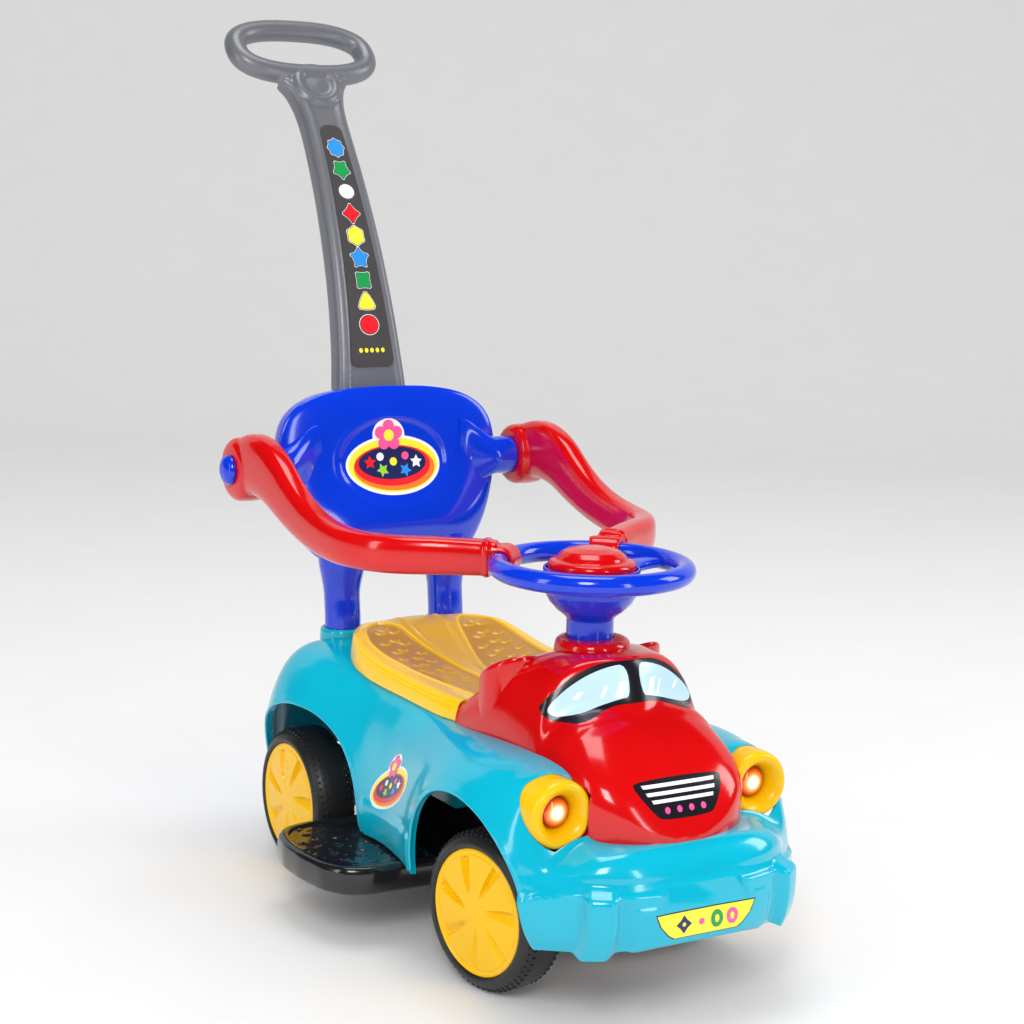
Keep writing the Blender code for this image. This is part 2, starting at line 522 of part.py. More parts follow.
# hood with column collar and two raised pods
hood = make("hood", *hood_outer(), mat=material("hood_red", RED, 0.14))
boolean(hood, lathe([(0, 0.255), (0.0440, 0.255), (0.0400, 0.2800), (0.0370, 0.2905), (0.0345, 0.2930), (0, 0.2930)], (0, COLUMN_Y - 0.0050, 0), (0, 0, 1), 24), "UNION", "collar")
boolean(hood, pod(1), "UNION", "pod_left")
boolean(hood, pod(-1), "UNION", "pod_right")
boolean(hood, hood_inner(), "DIFFERENCE", "hollow")
boolean(hood, rod((0, COLUMN_Y, 0.22), (0, COLUMN_Y, 0.31), 0.0218, 24), "DIFFERENCE", "column_hole")
for side, tag in ((1, "left"), (-1, "right")):
    boolean(hood, rod((side * LAMP_X, LAMP_FRONT + 0.0455, LAMP_Z), (side * LAMP_X, LAMP_FRONT - 0.0025, LAMP_Z), 0.0290 + FIT, 20), "DIFFERENCE", "lamp_clear_" + tag, "MANIFOLD")

# headlights
bezel = lathe([(0.0120, LAMP_FRONT + 0.0420), (0.0290, LAMP_FRONT + 0.0420), (0.0290, LAMP_FRONT + 0.0070), (0.0280, LAMP_FRONT + 0.0028), (0.0252, LAMP_FRONT), (0.0222, LAMP_FRONT + 0.0004),
               (0.0175, LAMP_FRONT + 0.0045), (0.0142, LAMP_FRONT + 0.0100), (0.0135, LAMP_FRONT + 0.0160), (0.0120, LAMP_FRONT + 0.0160)],
              (LAMP_X, 0, LAMP_Z), (0, 1, 0), 20)
both("headlight_bezel", bezel, material("bezel_yellow", YELLOW, 0.18))
lens = lathe([(0, LAMP_FRONT + 0.0340), (0.0116, LAMP_FRONT + 0.0340), (0.0116, LAMP_FRONT + 0.0156), (0.0128, LAMP_FRONT + 0.0152), (0.0118, LAMP_FRONT + 0.0128), (0.0080, LAMP_FRONT + 0.0106), (0, LAMP_FRONT + 0.0098)], (LAMP_X, 0, LAMP_Z), (0, 1, 0), 16)
both("headlight_lens", lens, material("lens_orange", LAMP, 0.12))

# seat lid and the bin under it
seat = make("seat_lid", *loft([seat_loop(y, 0) for y in SEAT_STATIONS]), mat=material("seat_yellow", YELLOW, 0.22), origin=(0, SEAT_HINGE_Y, SEAT_HINGE_Z))
boolean(seat, loft([seat_loop(min(max(y, -0.080), 0.1735), SHELL_T, floor=0.195) for y in SEAT_STATIONS]), "DIFFERENCE", "hollow")
storage = make("storage_bin", *box((-0.0694, -0.0544, 0.1150), (0.0694, 0.1294, 0.2050)), mat=material("bin_cyan", CYAN, 0.30))
boolean(storage, box((-0.0669, -0.0519, 0.1180), (0.0669, 0.1269, 0.2200)), "DIFFERENCE", "inside")

# backrest: front and rear shells, two posts, pivot bosses
blue = material("backrest_blue", BLUE, 0.12)
BOSS = [(0.0330, 0.0860), (0.0268, 0.0960), (0.0225, 0.1070), (0.0202, 0.1200), (0.0195, 0.1300)]
back_front = make("backrest_front", *back_half(-1, [(0.300, 0.0270), (0.330, 0.0220), (0.370, 0.0120), (0.400, 0.0090), (0.470, 0.0090)]), mat=blue)
back_rear = make("backrest_rear", *back_half(1, [(0.300, 0.0620), (0.470, 0.0620)]), mat=blue)
boolean(back_rear, handle_column(FIT, [0.383, 0.425, 0.4666, 0.515, 0.560]), "DIFFERENCE", "handle_socket")
for side, tag in ((1, "left"), (-1, "right")):
    for half in (back_front, back_rear):
        hole = lathe([(0, 0.0856)] + [(r + FIT, x - (FIT if r > 0.03 else 0)) for r, x in BOSS] + [(0.0195 + FIT, 0.150), (0, 0.150)], (0, PIVOT_Y, PIVOT_Z), (1, 0, 0), 20)
        boolean(half, hole if side > 0 else mirrored(hole), "DIFFERENCE", "boss_hole_" + tag)
        boolean(half, lathe([(0, 0.20), (POST_R + FIT, 0.20), (POST_R + FIT, 0.272), (0.0240 + FIT, 0.303), (0.0240 + FIT, 0.3154), (0, 0.3154)], (side * POST_X, POST_Y + 0.0035, 0), (0, 0, 1), 20), "DIFFERENCE", "post_top_" + tag)
post = [(0.0145, 0.155), (0.0165, 0.155), (POST_R, 0.158), (POST_R, 0.2350), (POST_R, 0.270), (0.0240, 0.301), (0.0240, 0.315), (0.0205, 0.315), (0.0205, 0.302), (0.0145, 0.272), (0.0145, 0.235)]
verts, faces = lathe(post, (POST_X, POST_Y, 0), (0, 0, 1), 20)
verts = [v + Vector((0, 0.0035 * min(1.0, max(0.0, (v.z - 0.235) / 0.035)), 0)) for v in verts]
both("backrest_post", (verts, faces), blue)
both("pivot_boss", lathe([(0.0062, 0.0860)] + BOSS + [(0.0195, 0.1375), (0.0180, 0.1390), (0.0062, 0.1390)], (0, PIVOT_Y, PIVOT_Z), (1, 0, 0), 20), blue)
both("pivot_pin", rod((0.0900, PIVOT_Y, PIVOT_Z), (0.1760, PIVOT_Y, PIVOT_Z), 0.0058, 16), material("pin_steel", STEEL, 0.3, 1.0))
both("pivot_cap", lathe([(0, 0.1763), (0.0147, 0.1763), (0.0147, 0.1790), (0.0115, 0.1832), (0.0060, 0.1850), (0, 0.1853)], (0, PIVOT_Y, PIVOT_Z), (1, 0, 0), 18), blue)

# guard arms
red = material("guard_red", RED, 0.16)
for obj, side in zip(both("guard_arm", arm_sweep(), red, origin=(0.1590, PIVOT_Y, PIVOT_Z)), (1, -1)):
    drum = lathe([(0, 0.1396), (0.0270, 0.1396), (0.0305, 0.1440), (0.0305, 0.1700), (0.0270, 0.1748), (0.0180, 0.1758), (0, 0.1758)], (0, PIVOT_Y, PIVOT_Z), (1, 0, 0), 20)
    boolean(obj, drum if side > 0 else mirrored(drum), "UNION", "drum")
    boolean(obj, rod((side * 0.130, PIVOT_Y, PIVOT_Z), (side * 0.185, PIVOT_Y, PIVOT_Z), 0.0062, 16), "DIFFERENCE", "pin_hole")
    boolean(obj, torus((0, COLUMN_Y, RING_Z), RING_R, RING_TUBE + 0.0010, 32, 10), "DIFFERENCE", "ring_saddle")
    boolean(obj, rod((0, COLUMN_Y, 0.300), (0, COLUMN_Y, RING_Z), RING_R + RING_TUBE + 0.0040, 32), "DIFFERENCE", "ring_clear")

# push handle
silver = material("handle_silver", SILVER, 0.32, 0.25)
handle = make("push_handle", *handle_column(), mat=silver)
boolean(handle, grip_loop(), "UNION", "grip")
tilt = math.radians(LOOP_TILT)
boss_axis = Vector((0, -math.cos(math.radians(38)), math.sin(math.radians(38))))
boss_mid = Vector((0, handle_front(0.7700) + 0.0105, 0.7700 - 0.0085))
boolean(handle, lathe([(0, -0.012), (0.0265, -0.012), (0.0265, 0.0085), (0.0235, 0.0120), (0.0165, 0.0120), (0.0140, 0.0100), (0, 0.0100)], boss_mid, boss_axis, 24), "UNION", "boss")
PANEL_STATIONS = [0.4920, 0.520, 0.560, 0.605, 0.645, 0.685, 0.7180]


def panel(grow, front):
    return loft([handle_section(z, (curve(HANDLE_WIDTH, z) - 0.0270) + 2 * grow, 0.0016 + 2 * grow, 0.0006, front, 1) for z in ([0.4920 - grow] + PANEL_STATIONS[1:-1] + [0.7180 + grow])])


boolean(handle, panel(1.5 * FIT, 0.0006), "DIFFERENCE", "panel_recess")
make("handle_panel", *panel(0, 0.0), mat=material("panel_grey", PANEL, 0.4))

# steering wheel with bowl hub, horn button, spring, shaft
wheel = make("steering_wheel", *torus((0, COLUMN_Y, RING_Z), RING_R, RING_TUBE, 32, 10), mat=blue, origin=(0, COLUMN_Y, RING_Z), turn=STEER)
hub = lathe([(0.0043, 0.2800), (0.0208, 0.2800), (0.0208, 0.3095), (0.0250, 0.3140), (0.0355, 0.3230), (0.0415, 0.3335), (0.0428, 0.3440), (0.0428, 0.3530), (0.0415, 0.3540), (0.0397, 0.3530), (0.0397, 0.3460),
             (0.0090, 0.3460), (0.0090, 0.3370), (0.0043, 0.3370)], (0, COLUMN_Y, 0), (0, 0, 1), 22)
boolean(wheel, hub, "UNION", "hub")
for i, angle in enumerate((0, 180, 270)):
    a = math.radians(angle + STEER_REST)
    out, across = Vector((math.cos(a), math.sin(a), 0)), Vector((-math.sin(a), math.cos(a), 0))
    loops = []
    for r, w, z0, z1 in ((0.0412, 0.0170, 0.3450, 0.3515), (0.0600, 0.0130, 0.3465, 0.3530), (0.0785, 0.0145, 0.3485, 0.3565)):
        c = Vector((0, COLUMN_Y, 0)) + out * r
        loops.append([c - across * w + Vector((0, 0, z0)), c + across * w + Vector((0, 0, z0)), c + across * w + Vector((0, 0, z1)), c - across * w + Vector((0, 0, z1))])
    boolean(wheel, loft(loops), "UNION", "spoke_%d" % i)
make("horn_button", *lathe([(0, 0.3690), (0.0130, 0.3682), (0.0220, 0.3664), (0.0266, 0.3632), (0.0286, 0.3598), (0.0350, 0.3580), (0.0362, 0.3564), (0.0362, 0.3500), (0.0386, 0.3500), (0.0386, 0.3578),
                            (0.0368, 0.3602), (0.0306, 0.3620), (0.0288, 0.3650), (0.0236, 0.3686), (0.0135, 0.3707), (0, 0.3715)],
                           (0, COLUMN_Y, 0), (0, 0, 1), 22), mat=material("horn_red", RED, 0.14), origin=(0, COLUMN_Y, 0.3500))


def coil(radius, wire, z0, z1, turns, seg, sides):
    loops = []
    for i in range(int(turns * seg) + 1):
        a = 2 * math.pi * i / seg
        p = Vector((radius * math.cos(a), radius * math.sin(a), z0 + wire + (z1 - z0 - 2 * wire) * i / (turns * seg)))
        out = Vector((math.cos(a), math.sin(a), 0))
        loops.append([p + out * wire * math.cos(2 * math.pi * k / sides) + Vector((0, 0, wire * math.sin(2 * math.pi * k / sides))) for k in range(sides)])
    return loft(loops)


steel = material("steel", STEEL, 0.28, 1.0)
make("horn_spring", *placed(coil(0.0065, 0.0006, 0.3374, 0.3680, 5, 8, 4), (0, COLUMN_Y, 0)), mat=steel)
make("steering_shaft", *rod((0, COLUMN_Y, 0.0810), (0, COLUMN_Y, 0.3365), AXLE_R, 16), mat=steel, turn=STEER)
yoke = make("steering_yoke", *box((-0.0550, AXLE_FRONT - 0.0130, 0.0580), (0.0550, AXLE_FRONT + 0.0220, 0.0830)), mat=material("yoke_black", BLACK, 0.4), turn=STEER)
for shape, op, name in ((rod((0, COLUMN_Y, 0.0780), (0, COLUMN_Y, 0.0945), 0.0120, 20), "UNION", "neck"),
                        (rod((-0.06, AXLE_FRONT, AXLE_Z), (0.06, AXLE_FRONT, AXLE_Z), AXLE_R + FIT, 16), "DIFFERENCE", "axle_hole"),
                        (rod((0, COLUMN_Y, 0.0806), (0, COLUMN_Y, 0.110), AXLE_R + FIT, 16), "DIFFERENCE", "shaft_hole")):
    verts, faces = shape
    boolean(yoke, ([STEER @ Vector(v) for v in verts], faces), op, name)
make("front_axle", *rod((-0.1255, AXLE_FRONT, AXLE_Z), (0.1255, AXLE_FRONT, AXLE_Z), AXLE_R, 16), mat=steel, turn=STEER)
make("rear_axle", *rod((-0.1255, WHEELBASE_HALF, AXLE_Z), (0.1255, WHEELBASE_HALF, AXLE_Z), AXLE_R, 16), mat=steel)

# wheels
rim, rubber = material("wheel_yellow", YELLOW, 0.2), material("tyre_black", BLACK, 0.6)
for end, y in (("front", AXLE_FRONT), ("rear", WHEELBASE_HALF)):
    for side, tag in ((1, "left"), (-1, "right")):
        for part, shape, mat in (("wheel_disc", wheel_disc(), rim), ("tyre", wheel_tyre(), rubber)):
            if side < 0:
                shape = mirrored(shape)
            make("%s_%s_%s" % (part, end, tag), *placed(shape, (0, y, AXLE_Z)), mat=mat, origin=(side * 0.1100, y, AXLE_Z), turn=STEER if end == "front" else None)

# battery box for the lamps, under the hood on the chassis
cell_box = make("battery_box", *box((-0.0350, -0.2550, 0.1124), (0.0350, -0.2050, 0.1420)), mat=material("box_black", BLACK, 0.45))
boolean(cell_box, box((-0.0325, -0.2525, 0.1150), (0.0325, -0.2075, 0.1500)), "DIFFERENCE", "cells")
make("battery_door", *box((-0.0350, -0.2550, 0.1424), (0.0350, -0.2050, 0.1450)), mat=material("door_black", BLACK, 0.35))
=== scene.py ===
import math

import bmesh
import bpy
import numpy as np
from mathutils import Matrix, Vector
from mathutils.bvhtree import BVHTree
from mathutils.geometry import delaunay_2d_cdt


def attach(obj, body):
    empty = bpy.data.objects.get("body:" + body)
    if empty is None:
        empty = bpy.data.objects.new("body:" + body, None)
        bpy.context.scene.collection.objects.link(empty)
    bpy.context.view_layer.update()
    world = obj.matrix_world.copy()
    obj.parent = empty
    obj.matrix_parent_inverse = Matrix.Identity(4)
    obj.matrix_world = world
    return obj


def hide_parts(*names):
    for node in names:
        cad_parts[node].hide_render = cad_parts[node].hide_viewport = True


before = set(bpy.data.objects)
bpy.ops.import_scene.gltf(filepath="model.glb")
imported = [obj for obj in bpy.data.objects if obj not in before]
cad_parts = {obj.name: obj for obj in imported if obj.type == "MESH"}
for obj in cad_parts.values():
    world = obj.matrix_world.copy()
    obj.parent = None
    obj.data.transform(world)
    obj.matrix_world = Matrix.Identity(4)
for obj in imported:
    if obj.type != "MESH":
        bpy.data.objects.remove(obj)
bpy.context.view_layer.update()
YS = -0.0625940            # car coordinates (y = 0 midway between the axles) to the row frame
COL = -0.1615              # steering axis
AXF = -0.171               # front axle
STEER = math.radians(10.0)
LAMP = -0.2840             # front of the headlight rings
RNG = np.random.default_rng(7)


# ------------------------------------------------------------------ curves and grids
def cubic(points, t):
    """Monotone cubic through (t, value) points, for an array of t."""
    p = np.array(points, float)
    x, y = p[:, 0], p[:, 1]
    h, d = np.diff(x), np.diff(y) / np.diff(x)
    m = np.zeros(len(x))
    m[0], m[-1] = d[0], d[-1]
    for i in range(1, len(x) - 1):
        m[i] = 0 if d[i - 1] * d[i] <= 0 else 2 * d[i - 1] * d[i] / (d[i - 1] + d[i])
    t = np.clip(np.asarray(t, float), x[0], x[-1])
    i = np.clip(np.searchsorted(x, t) - 1, 0, len(x) - 2)
    s = (t - x[i]) / h[i]
    return (2 * s**3 - 3 * s**2 + 1) * y[i] + (s**3 - 2 * s**2 + s) * h[i] * m[i] + (3 * s**2 - 2 * s**3) * y[i + 1] + (s**3 - s**2) * h[i] * m[i + 1]


def soft(points, t, width):
    """cubic(), averaged over a window so that highlights run smoothly."""
    t = np.asarray(t, float)
    total, weight = np.zeros_like(t), 0.0
    for k in np.linspace(-1.5, 1.5, 13):
        g = math.exp(-k * k)
        total += g * cubic(points, t + k * width)
        weight += g
    return total / weight


def sstep(a, b, x):
    s = np.clip((np.asarray(x, float) - a) / (b - a), 0, 1)
    return s * s * (3 - 2 * s)


def mesh_object(name, verts, faces, mat, body, replaces=(), smooth=40):
    mesh = bpy.data.meshes.new(name)
    v = np.asarray(verts, float).reshape(-1, 3) + np.array([0, YS, 0])
    mesh.from_pydata(v.tolist(), [], faces)
    obj = bpy.data.objects.new(name, mesh)
    bpy.context.scene.collection.objects.link(obj)
    if mat is not None:
        mesh.materials.append(mat)
    finish_mesh(obj, smooth)
    if body:
        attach(obj, body)
    if replaces:
        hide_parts(*replaces)
    return obj


def finish_mesh(obj, smooth=40):
    bm = bmesh.new()
    bm.from_mesh(obj.data)
    bmesh.ops.remove_doubles(bm, verts=bm.verts, dist=1e-6)
    bmesh.ops.recalc_face_normals(bm, faces=bm.faces)
    bm.to_mesh(obj.data)
    bm.free()
    for p in obj.data.polygons:
        p.use_smooth = True
    if smooth:
        obj.data.set_sharp_from_angle(angle=math.radians(smooth))


def grid_faces(nu, nv, wrap_u=False, wrap_v=False, offset=0):
    """Faces of an nu by nv grid of points, row by row."""
    faces = []
    for i in range(nu if wrap_u else nu - 1):
        for j in range(nv if wrap_v else nv - 1):
            a, b = i * nv + j, i * nv + (j + 1) % nv
            c, d = ((i + 1) % nu) * nv + (j + 1) % nv, ((i + 1) % nu) * nv + j
            faces.append((a + offset, b + offset, c + offset, d + offset))
    return faces


def tube_faces(nu, nv):
    """An open tube of nu rings of nv points, with flat ends."""
    return grid_faces(nu, nv, wrap_v=True) + [tuple(range(nv - 1, -1, -1)), tuple((nu - 1) * nv + j for j in range(nv))]


def grid_normals(p, wrap_v=True):
    du = np.gradient(p, axis=0)
    if wrap_v:
        dv = (np.roll(p, -1, axis=1) - np.roll(p, 1, axis=1)) / 2
    else:
        dv = np.gradient(p, axis=1)
    n = np.cross(du, dv)
    return n / np.maximum(np.linalg.norm(n, axis=2, keepdims=True), 1e-12)


def lathe(profile, centre, axis, seg=64):
    """Body of revolution, profile = (distance from the axis, height along it), closed if both ends are off the axis."""
    axis = Vector(axis).normalized()
    u = axis.cross(Vector((1, 0, 0)) if abs(axis.x) < 0.9 else Vector((0, 0, 1))).normalized()
    w = axis.cross(u)
    verts, rows = [], []
    for r, h in profile:
        base = Vector(centre) + axis * h
        if r < 1e-9:
            rows.append([len(verts)])
            verts.append(base)
        else:
            rows.append(list(range(len(verts), len(verts) + seg)))
            verts += [base + (u * math.cos(2 * math.pi * i / seg) + w * math.sin(2 * math.pi * i / seg)) * r for i in range(seg)]
    faces = []
    closed = len(rows[0]) > 1 and len(rows[-1]) > 1
    for a, b in list(zip(rows, rows[1:])) + ([(rows[-1], rows[0])] if closed else []):
        for i in range(seg):
            j = (i + 1) % seg
            if len(a) == 1 and len(b) == 1:
                continue
            if len(a) == 1:
                faces.append((a[0], b[i], b[j]))
            elif len(b) == 1:
                faces.append((a[i], b[0], a[j]))
            else:
                faces.append((a[i], b[i], b[j], a[j]))
    return [tuple(v) for v in verts], faces


def rounded_profile(points, radius=0.001, steps=4):
    """The corners of a lathe profile turned into small arcs."""
    out = []
    n = len(points)
    for i, p in enumerate(points):
        if i in (0, n - 1):
            out.append(p)
            continue
        a, b = np.array(points[i - 1], float), np.array(points[i + 1], float)
        q = np.array(p, float)
        ra = min(radius, 0.45 * np.linalg.norm(a - q))
        rb = min(radius, 0.45 * np.linalg.norm(b - q))
        s, e = q + (a - q) / max(np.linalg.norm(a - q), 1e-9) * ra, q + (b - q) / max(np.linalg.norm(b - q), 1e-9) * rb
        for t in np.linspace(0, 1, steps + 1):
            out.append(tuple((1 - t) ** 2 * s + 2 * t * (1 - t) * q + t * t * e))
    return out


def sweep(path, radius, sides=16, closed=False, up=(0, 0, 1), flat=1.0):
    """A round tube along a path of points. radius is a number or one per point."""
    p = np.asarray(path, float)
    n = len(p)
    r = np.broadcast_to(np.asarray(radius, float), (n,))
    t = np.roll(p, -1, 0) - np.roll(p, 1, 0) if closed else np.gradient(p, axis=0)
    t /= np.linalg.norm(t, axis=1, keepdims=True)
    frame_u = np.cross(t, np.array(up, float))
    frame_u /= np.maximum(np.linalg.norm(frame_u, axis=1, keepdims=True), 1e-9)
    frame_v = np.cross(frame_u, t)
    a = np.linspace(0, 2 * math.pi, sides, endpoint=False)
    rings = p[:, None] + r[:, None, None] * (np.cos(a)[None, :, None] * frame_u[:, None] + flat * np.sin(a)[None, :, None] * frame_v[:, None])
    return rings.reshape(-1, 3), (grid_faces(n, sides, wrap_u=True, wrap_v=True) if closed else tube_faces(n, sides))


def modifier_boolean(obj, verts, faces, operation="DIFFERENCE", solver="EXACT"):
    cutter = bpy.data.meshes.new("cutter")
    v = np.asarray(verts, float).reshape(-1, 3) + np.array([0, YS, 0])
    cutter.from_pydata(v.tolist(), [], faces)
    helper = bpy.data.objects.new("cutter", cutter)
    bpy.context.scene.collection.objects.link(helper)
    bm = bmesh.new()
    bm.from_mesh(cutter)
    bmesh.ops.recalc_face_normals(bm, faces=bm.faces)
    bm.to_mesh(cutter)
    bm.free()
    mod = obj.modifiers.new("b", "BOOLEAN")
    mod.object, mod.operation, mod.solver = helper, operation, solver
    apply_modifiers(obj)
    bpy.data.objects.remove(helper)
    bpy.data.meshes.remove(cutter)


def apply_modifiers(obj):
    graph = bpy.context.evaluated_depsgraph_get()
    new = bpy.data.meshes.new_from_object(obj.evaluated_get(graph), depsgraph=graph)
    obj.modifiers.clear()
    old = obj.data
    obj.data = new
    bpy.data.meshes.remove(old)


def box_mesh(lo, hi):
    v = [(x, y, z) for x in (lo[0], hi[0]) for y in (lo[1], hi[1]) for z in (lo[2], hi[2])]
    return v, [(0, 1, 3, 2), (4, 6, 7, 5), (0, 4, 5, 1), (2, 3, 7, 6), (0, 2, 6, 4), (1, 5, 7, 3)]


def extrude_x(outline, lo, hi):
    n = len(outline)
    v = [(lo, p[0], p[1]) for p in outline] + [(hi, p[0], p[1]) for p in outline]
    return v, [tuple(range(n)), tuple(range(2 * n - 1, n - 1, -1))] + [(i, (i + 1) % n, n + (i + 1) % n, n + i) for i in range(n)]


def cylinder(start, end, r, seg=48):
    length = (Vector(end) - Vector(start)).length
    return lathe([(0, 0), (r, 0), (r, length), (0, length)], start, Vector(end) - Vector(start), seg)


# ------------------------------------------------------------------ materials
def plastic(name, colour, rough=0.2, vary=0.05, grain=0.02, grain_scale=900, coat=0.35, metal=0.0, spots=0.0, dark=None, specular=0.5, sheen=0.0):
    """Moulded plastic: slight colour drift, flow marks in the gloss, and a faint surface grain."""
    mat = bpy.data.materials.new(name)
    mat.use_nodes = True
    tree = mat.node_tree
    nodes, links = tree.nodes, tree.links
    bsdf = nodes["Principled BSDF"]
    where = nodes.new("ShaderNodeTexCoord")
    drift = nodes.new("ShaderNodeTexNoise")
    drift.inputs["Scale"].default_value = 9
    drift.inputs["Detail"].default_value = 3
    links.new(where.outputs["Object"], drift.inputs["Vector"])
    ramp = nodes.new("ShaderNodeValToRGB")
    ramp.color_ramp.elements[0].position, ramp.color_ramp.elements[1].position = 0.3, 0.7
    low = dark or tuple(c * (1 - vary) for c in colour)
    ramp.color_ramp.elements[0].color = (*low, 1)
    ramp.color_ramp.elements[1].color = (*(min(1, c * (1 + vary * 0.6)) for c in colour), 1)
    links.new(drift.outputs["Fac"], ramp.inputs["Fac"])
    links.new(ramp.outputs["Color"], bsdf.inputs["Base Color"])
    flow = nodes.new("ShaderNodeTexNoise")
    flow.inputs["Scale"].default_value = 35
    flow.inputs["Detail"].default_value = 5
    links.new(where.outputs["Object"], flow.inputs["Vector"])
    span = nodes.new("ShaderNodeMapRange")
    span.inputs["To Min"].default_value = max(0.02, rough * 0.8)
    span.inputs["To Max"].default_value = rough * 1.25
    links.new(flow.outputs["Fac"], span.inputs["Value"])
    links.new(span.outputs["Result"], bsdf.inputs["Roughness"])
    fine = nodes.new("ShaderNodeTexNoise")
    fine.inputs["Scale"].default_value = grain_scale
    fine.inputs["Detail"].default_value = 2
    links.new(where.outputs["Object"], fine.inputs["Vector"])
    bump = nodes.new("ShaderNodeBump")
    bump.inputs["Strength"].default_value = grain
    bump.inputs["Distance"].default_value = 0.0006
    links.new(fine.outputs["Fac"], bump.inputs["Height"])
    wave = nodes.new("ShaderNodeBump")
    wave.inputs["Strength"].default_value = 0.05
    wave.inputs["Distance"].default_value = 0.003
    links.new(drift.outputs["Fac"], wave.inputs["Height"])
    links.new(wave.outputs["Normal"], bump.inputs["Normal"])
    links.new(bump.outputs["Normal"], bsdf.inputs["Normal"])
    bsdf.inputs["Metallic"].default_value = metal
    bsdf.inputs["Coat Weight"].default_value = coat
    bsdf.inputs["Coat Roughness"].default_value = 0.03
    bsdf.inputs["Specular IOR Level"].default_value = specular
    return mat


def mask_mix(mat, attribute, colour, rough=None):
    """A second colour of the same plastic where the mesh attribute says so."""
    nodes, links = mat.node_tree.nodes, mat.node_tree.links
    bsdf = nodes["Principled BSDF"]
    att = nodes.new("ShaderNodeAttribute")
    att.attribute_name = attribute
    mix = nodes.new("ShaderNodeMix")
    mix.data_type = "RGBA"
    old = bsdf.inputs["Base Color"].links[0].from_socket
    links.new(att.outputs["Fac"], mix.inputs["Factor"])
    links.new(old, mix.inputs["A"])
    mix.inputs["B"].default_value = (*colour, 1)
    links.new(mix.outputs["Result"], bsdf.inputs["Base Color"])
    if rough is not None:
        mix2 = nodes.new("ShaderNodeMix")
        mix2.data_type = "FLOAT"
        old = bsdf.inputs["Roughness"].links[0].from_socket
        links.new(att.outputs["Fac"], mix2.inputs["Factor"])
        links.new(old, mix2.inputs["A"])
        mix2.inputs["B"].default_value = rough
        links.new(mix2.outputs["Result"], bsdf.inputs["Roughness"])


CYAN = plastic("cyan_gloss", (0.0, 0.42, 0.58), 0.16)
RED = plastic("red_gloss", (0.60, 0.001, 0.002), 0.15)
BLUE = plastic("blue_gloss", (0.001, 0.036, 0.62), 0.13)
YELLOW = plastic("yellow_gloss", (0.86, 0.49, 0.0), 0.22, coat=0.12, specular=0.32)
SEAT = plastic("seat_yellow", (0.95, 0.56, 0.0), 0.22)
# darker amber on the seat top where the tread mask is set; the mask is lowered along the crescents, which paints
# highlights there
mask_mix(SEAT, "tread_with_painted_highlights", (0.50, 0.235, 0.010), 0.34)
BLACK = plastic("black_gloss", (0.012, 0.012, 0.014), 0.16)
CHASSIS = plastic("chassis_black", (0.010, 0.010, 0.011), 0.34, coat=0.1)
RUBBER = plastic("tyre_black", (0.014, 0.014, 0.015), 0.42, grain=0.12, grain_scale=500, coat=0.05)
SILVER = plastic("silver_satin", (0.175, 0.18, 0.20), 0.36, grain=0.05, grain_scale=1400, coat=0.10, metal=0.35)
PANEL = plastic("panel_grey", (0.055, 0.050, 0.052), 0.38, coat=0.1)
STEEL = plastic("steel", (0.55, 0.55, 0.57), 0.3, metal=1.0, coat=0.0)

# ------------------------------------------------------------------ body shell
BODY_W = [(-0.345, 0.036), (-0.3425, 0.055), (-0.337, 0.074), (-0.326, 0.093), (-0.313, 0.108), (-0.298, 0.121), (-0.280, 0.1325), (-0.260, 0.1410),
          (-0.235, 0.1460), (-0.200, 0.1485), (-0.160, 0.1470), (-0.120, 0.1410), (-0.080, 0.1310), (-0.040, 0.1225), (0.000, 0.1175), (0.040, 0.1175),
          (0.075, 0.1225), (0.110, 0.1325), (0.145, 0.1405), (0.180, 0.1415), (0.208, 0.136), (0.231, 0.125), (0.247, 0.111), (0.258, 0.094), (0.264, 0.070)]
BODY_T = [(-0.345, 0.122), (-0.342, 0.134), (-0.3355, 0.1450), (-0.329, 0.1515), (-0.322, 0.1540), (-0.300, 0.1545), (-0.289, 0.1560), (-0.282, 0.1640), (-0.274, 0.184),
          (-0.262, 0.2000), (-0.235, 0.2085), (-0.200, 0.2100), (-0.140, 0.2085), (-0.090, 0.2065), (0.0, 0.2085), (0.060, 0.2100), (0.100, 0.214),
          (0.130, 0.2190), (0.160, 0.2230), (0.185, 0.2240), (0.202, 0.2200), (0.217, 0.2080), (0.232, 0.189), (0.247, 0.162), (0.258, 0.140), (0.264, 0.124)]
BODY_B = [(-0.345, 0.089), (-0.3425, 0.0820), (-0.335, 0.0755), (-0.322, 0.0725), (-0.300, 0.0710), (-0.270, 0.070), (-0.090, 0.0728), (0.080, 0.0728), (0.240, 0.086), (0.258, 0.092), (0.264, 0.098)]
BODY_TOP = [(-0.345, 0.016), (-0.325, 0.034), (-0.300, 0.048), (-0.285, 0.056), (-0.262, 0.082), (-0.200, 0.088), (-0.090, 0.088), (0.060, 0.086), (0.160, 0.082), (0.220, 0.072), (0.264, 0.040)]
BODY_MID = [(-0.345, 0.105), (-0.300, 0.106), (-0.240, 0.116), (-0.190, 0.122), (-0.120, 0.112), (-0.02, 0.098), (0.06, 0.100), (0.14, 0.116), (0.20, 0.116), (0.264, 0.110)]
BODY_SQ = [(-0.345, 0.62), (-0.30, 0.66), (-0.24, 0.72), (-0.17, 0.74), (-0.10, 0.86), (-0.03, 0.98), (0.04, 0.98), (0.10, 0.86), (0.16, 0.78), (0.264, 0.72)]


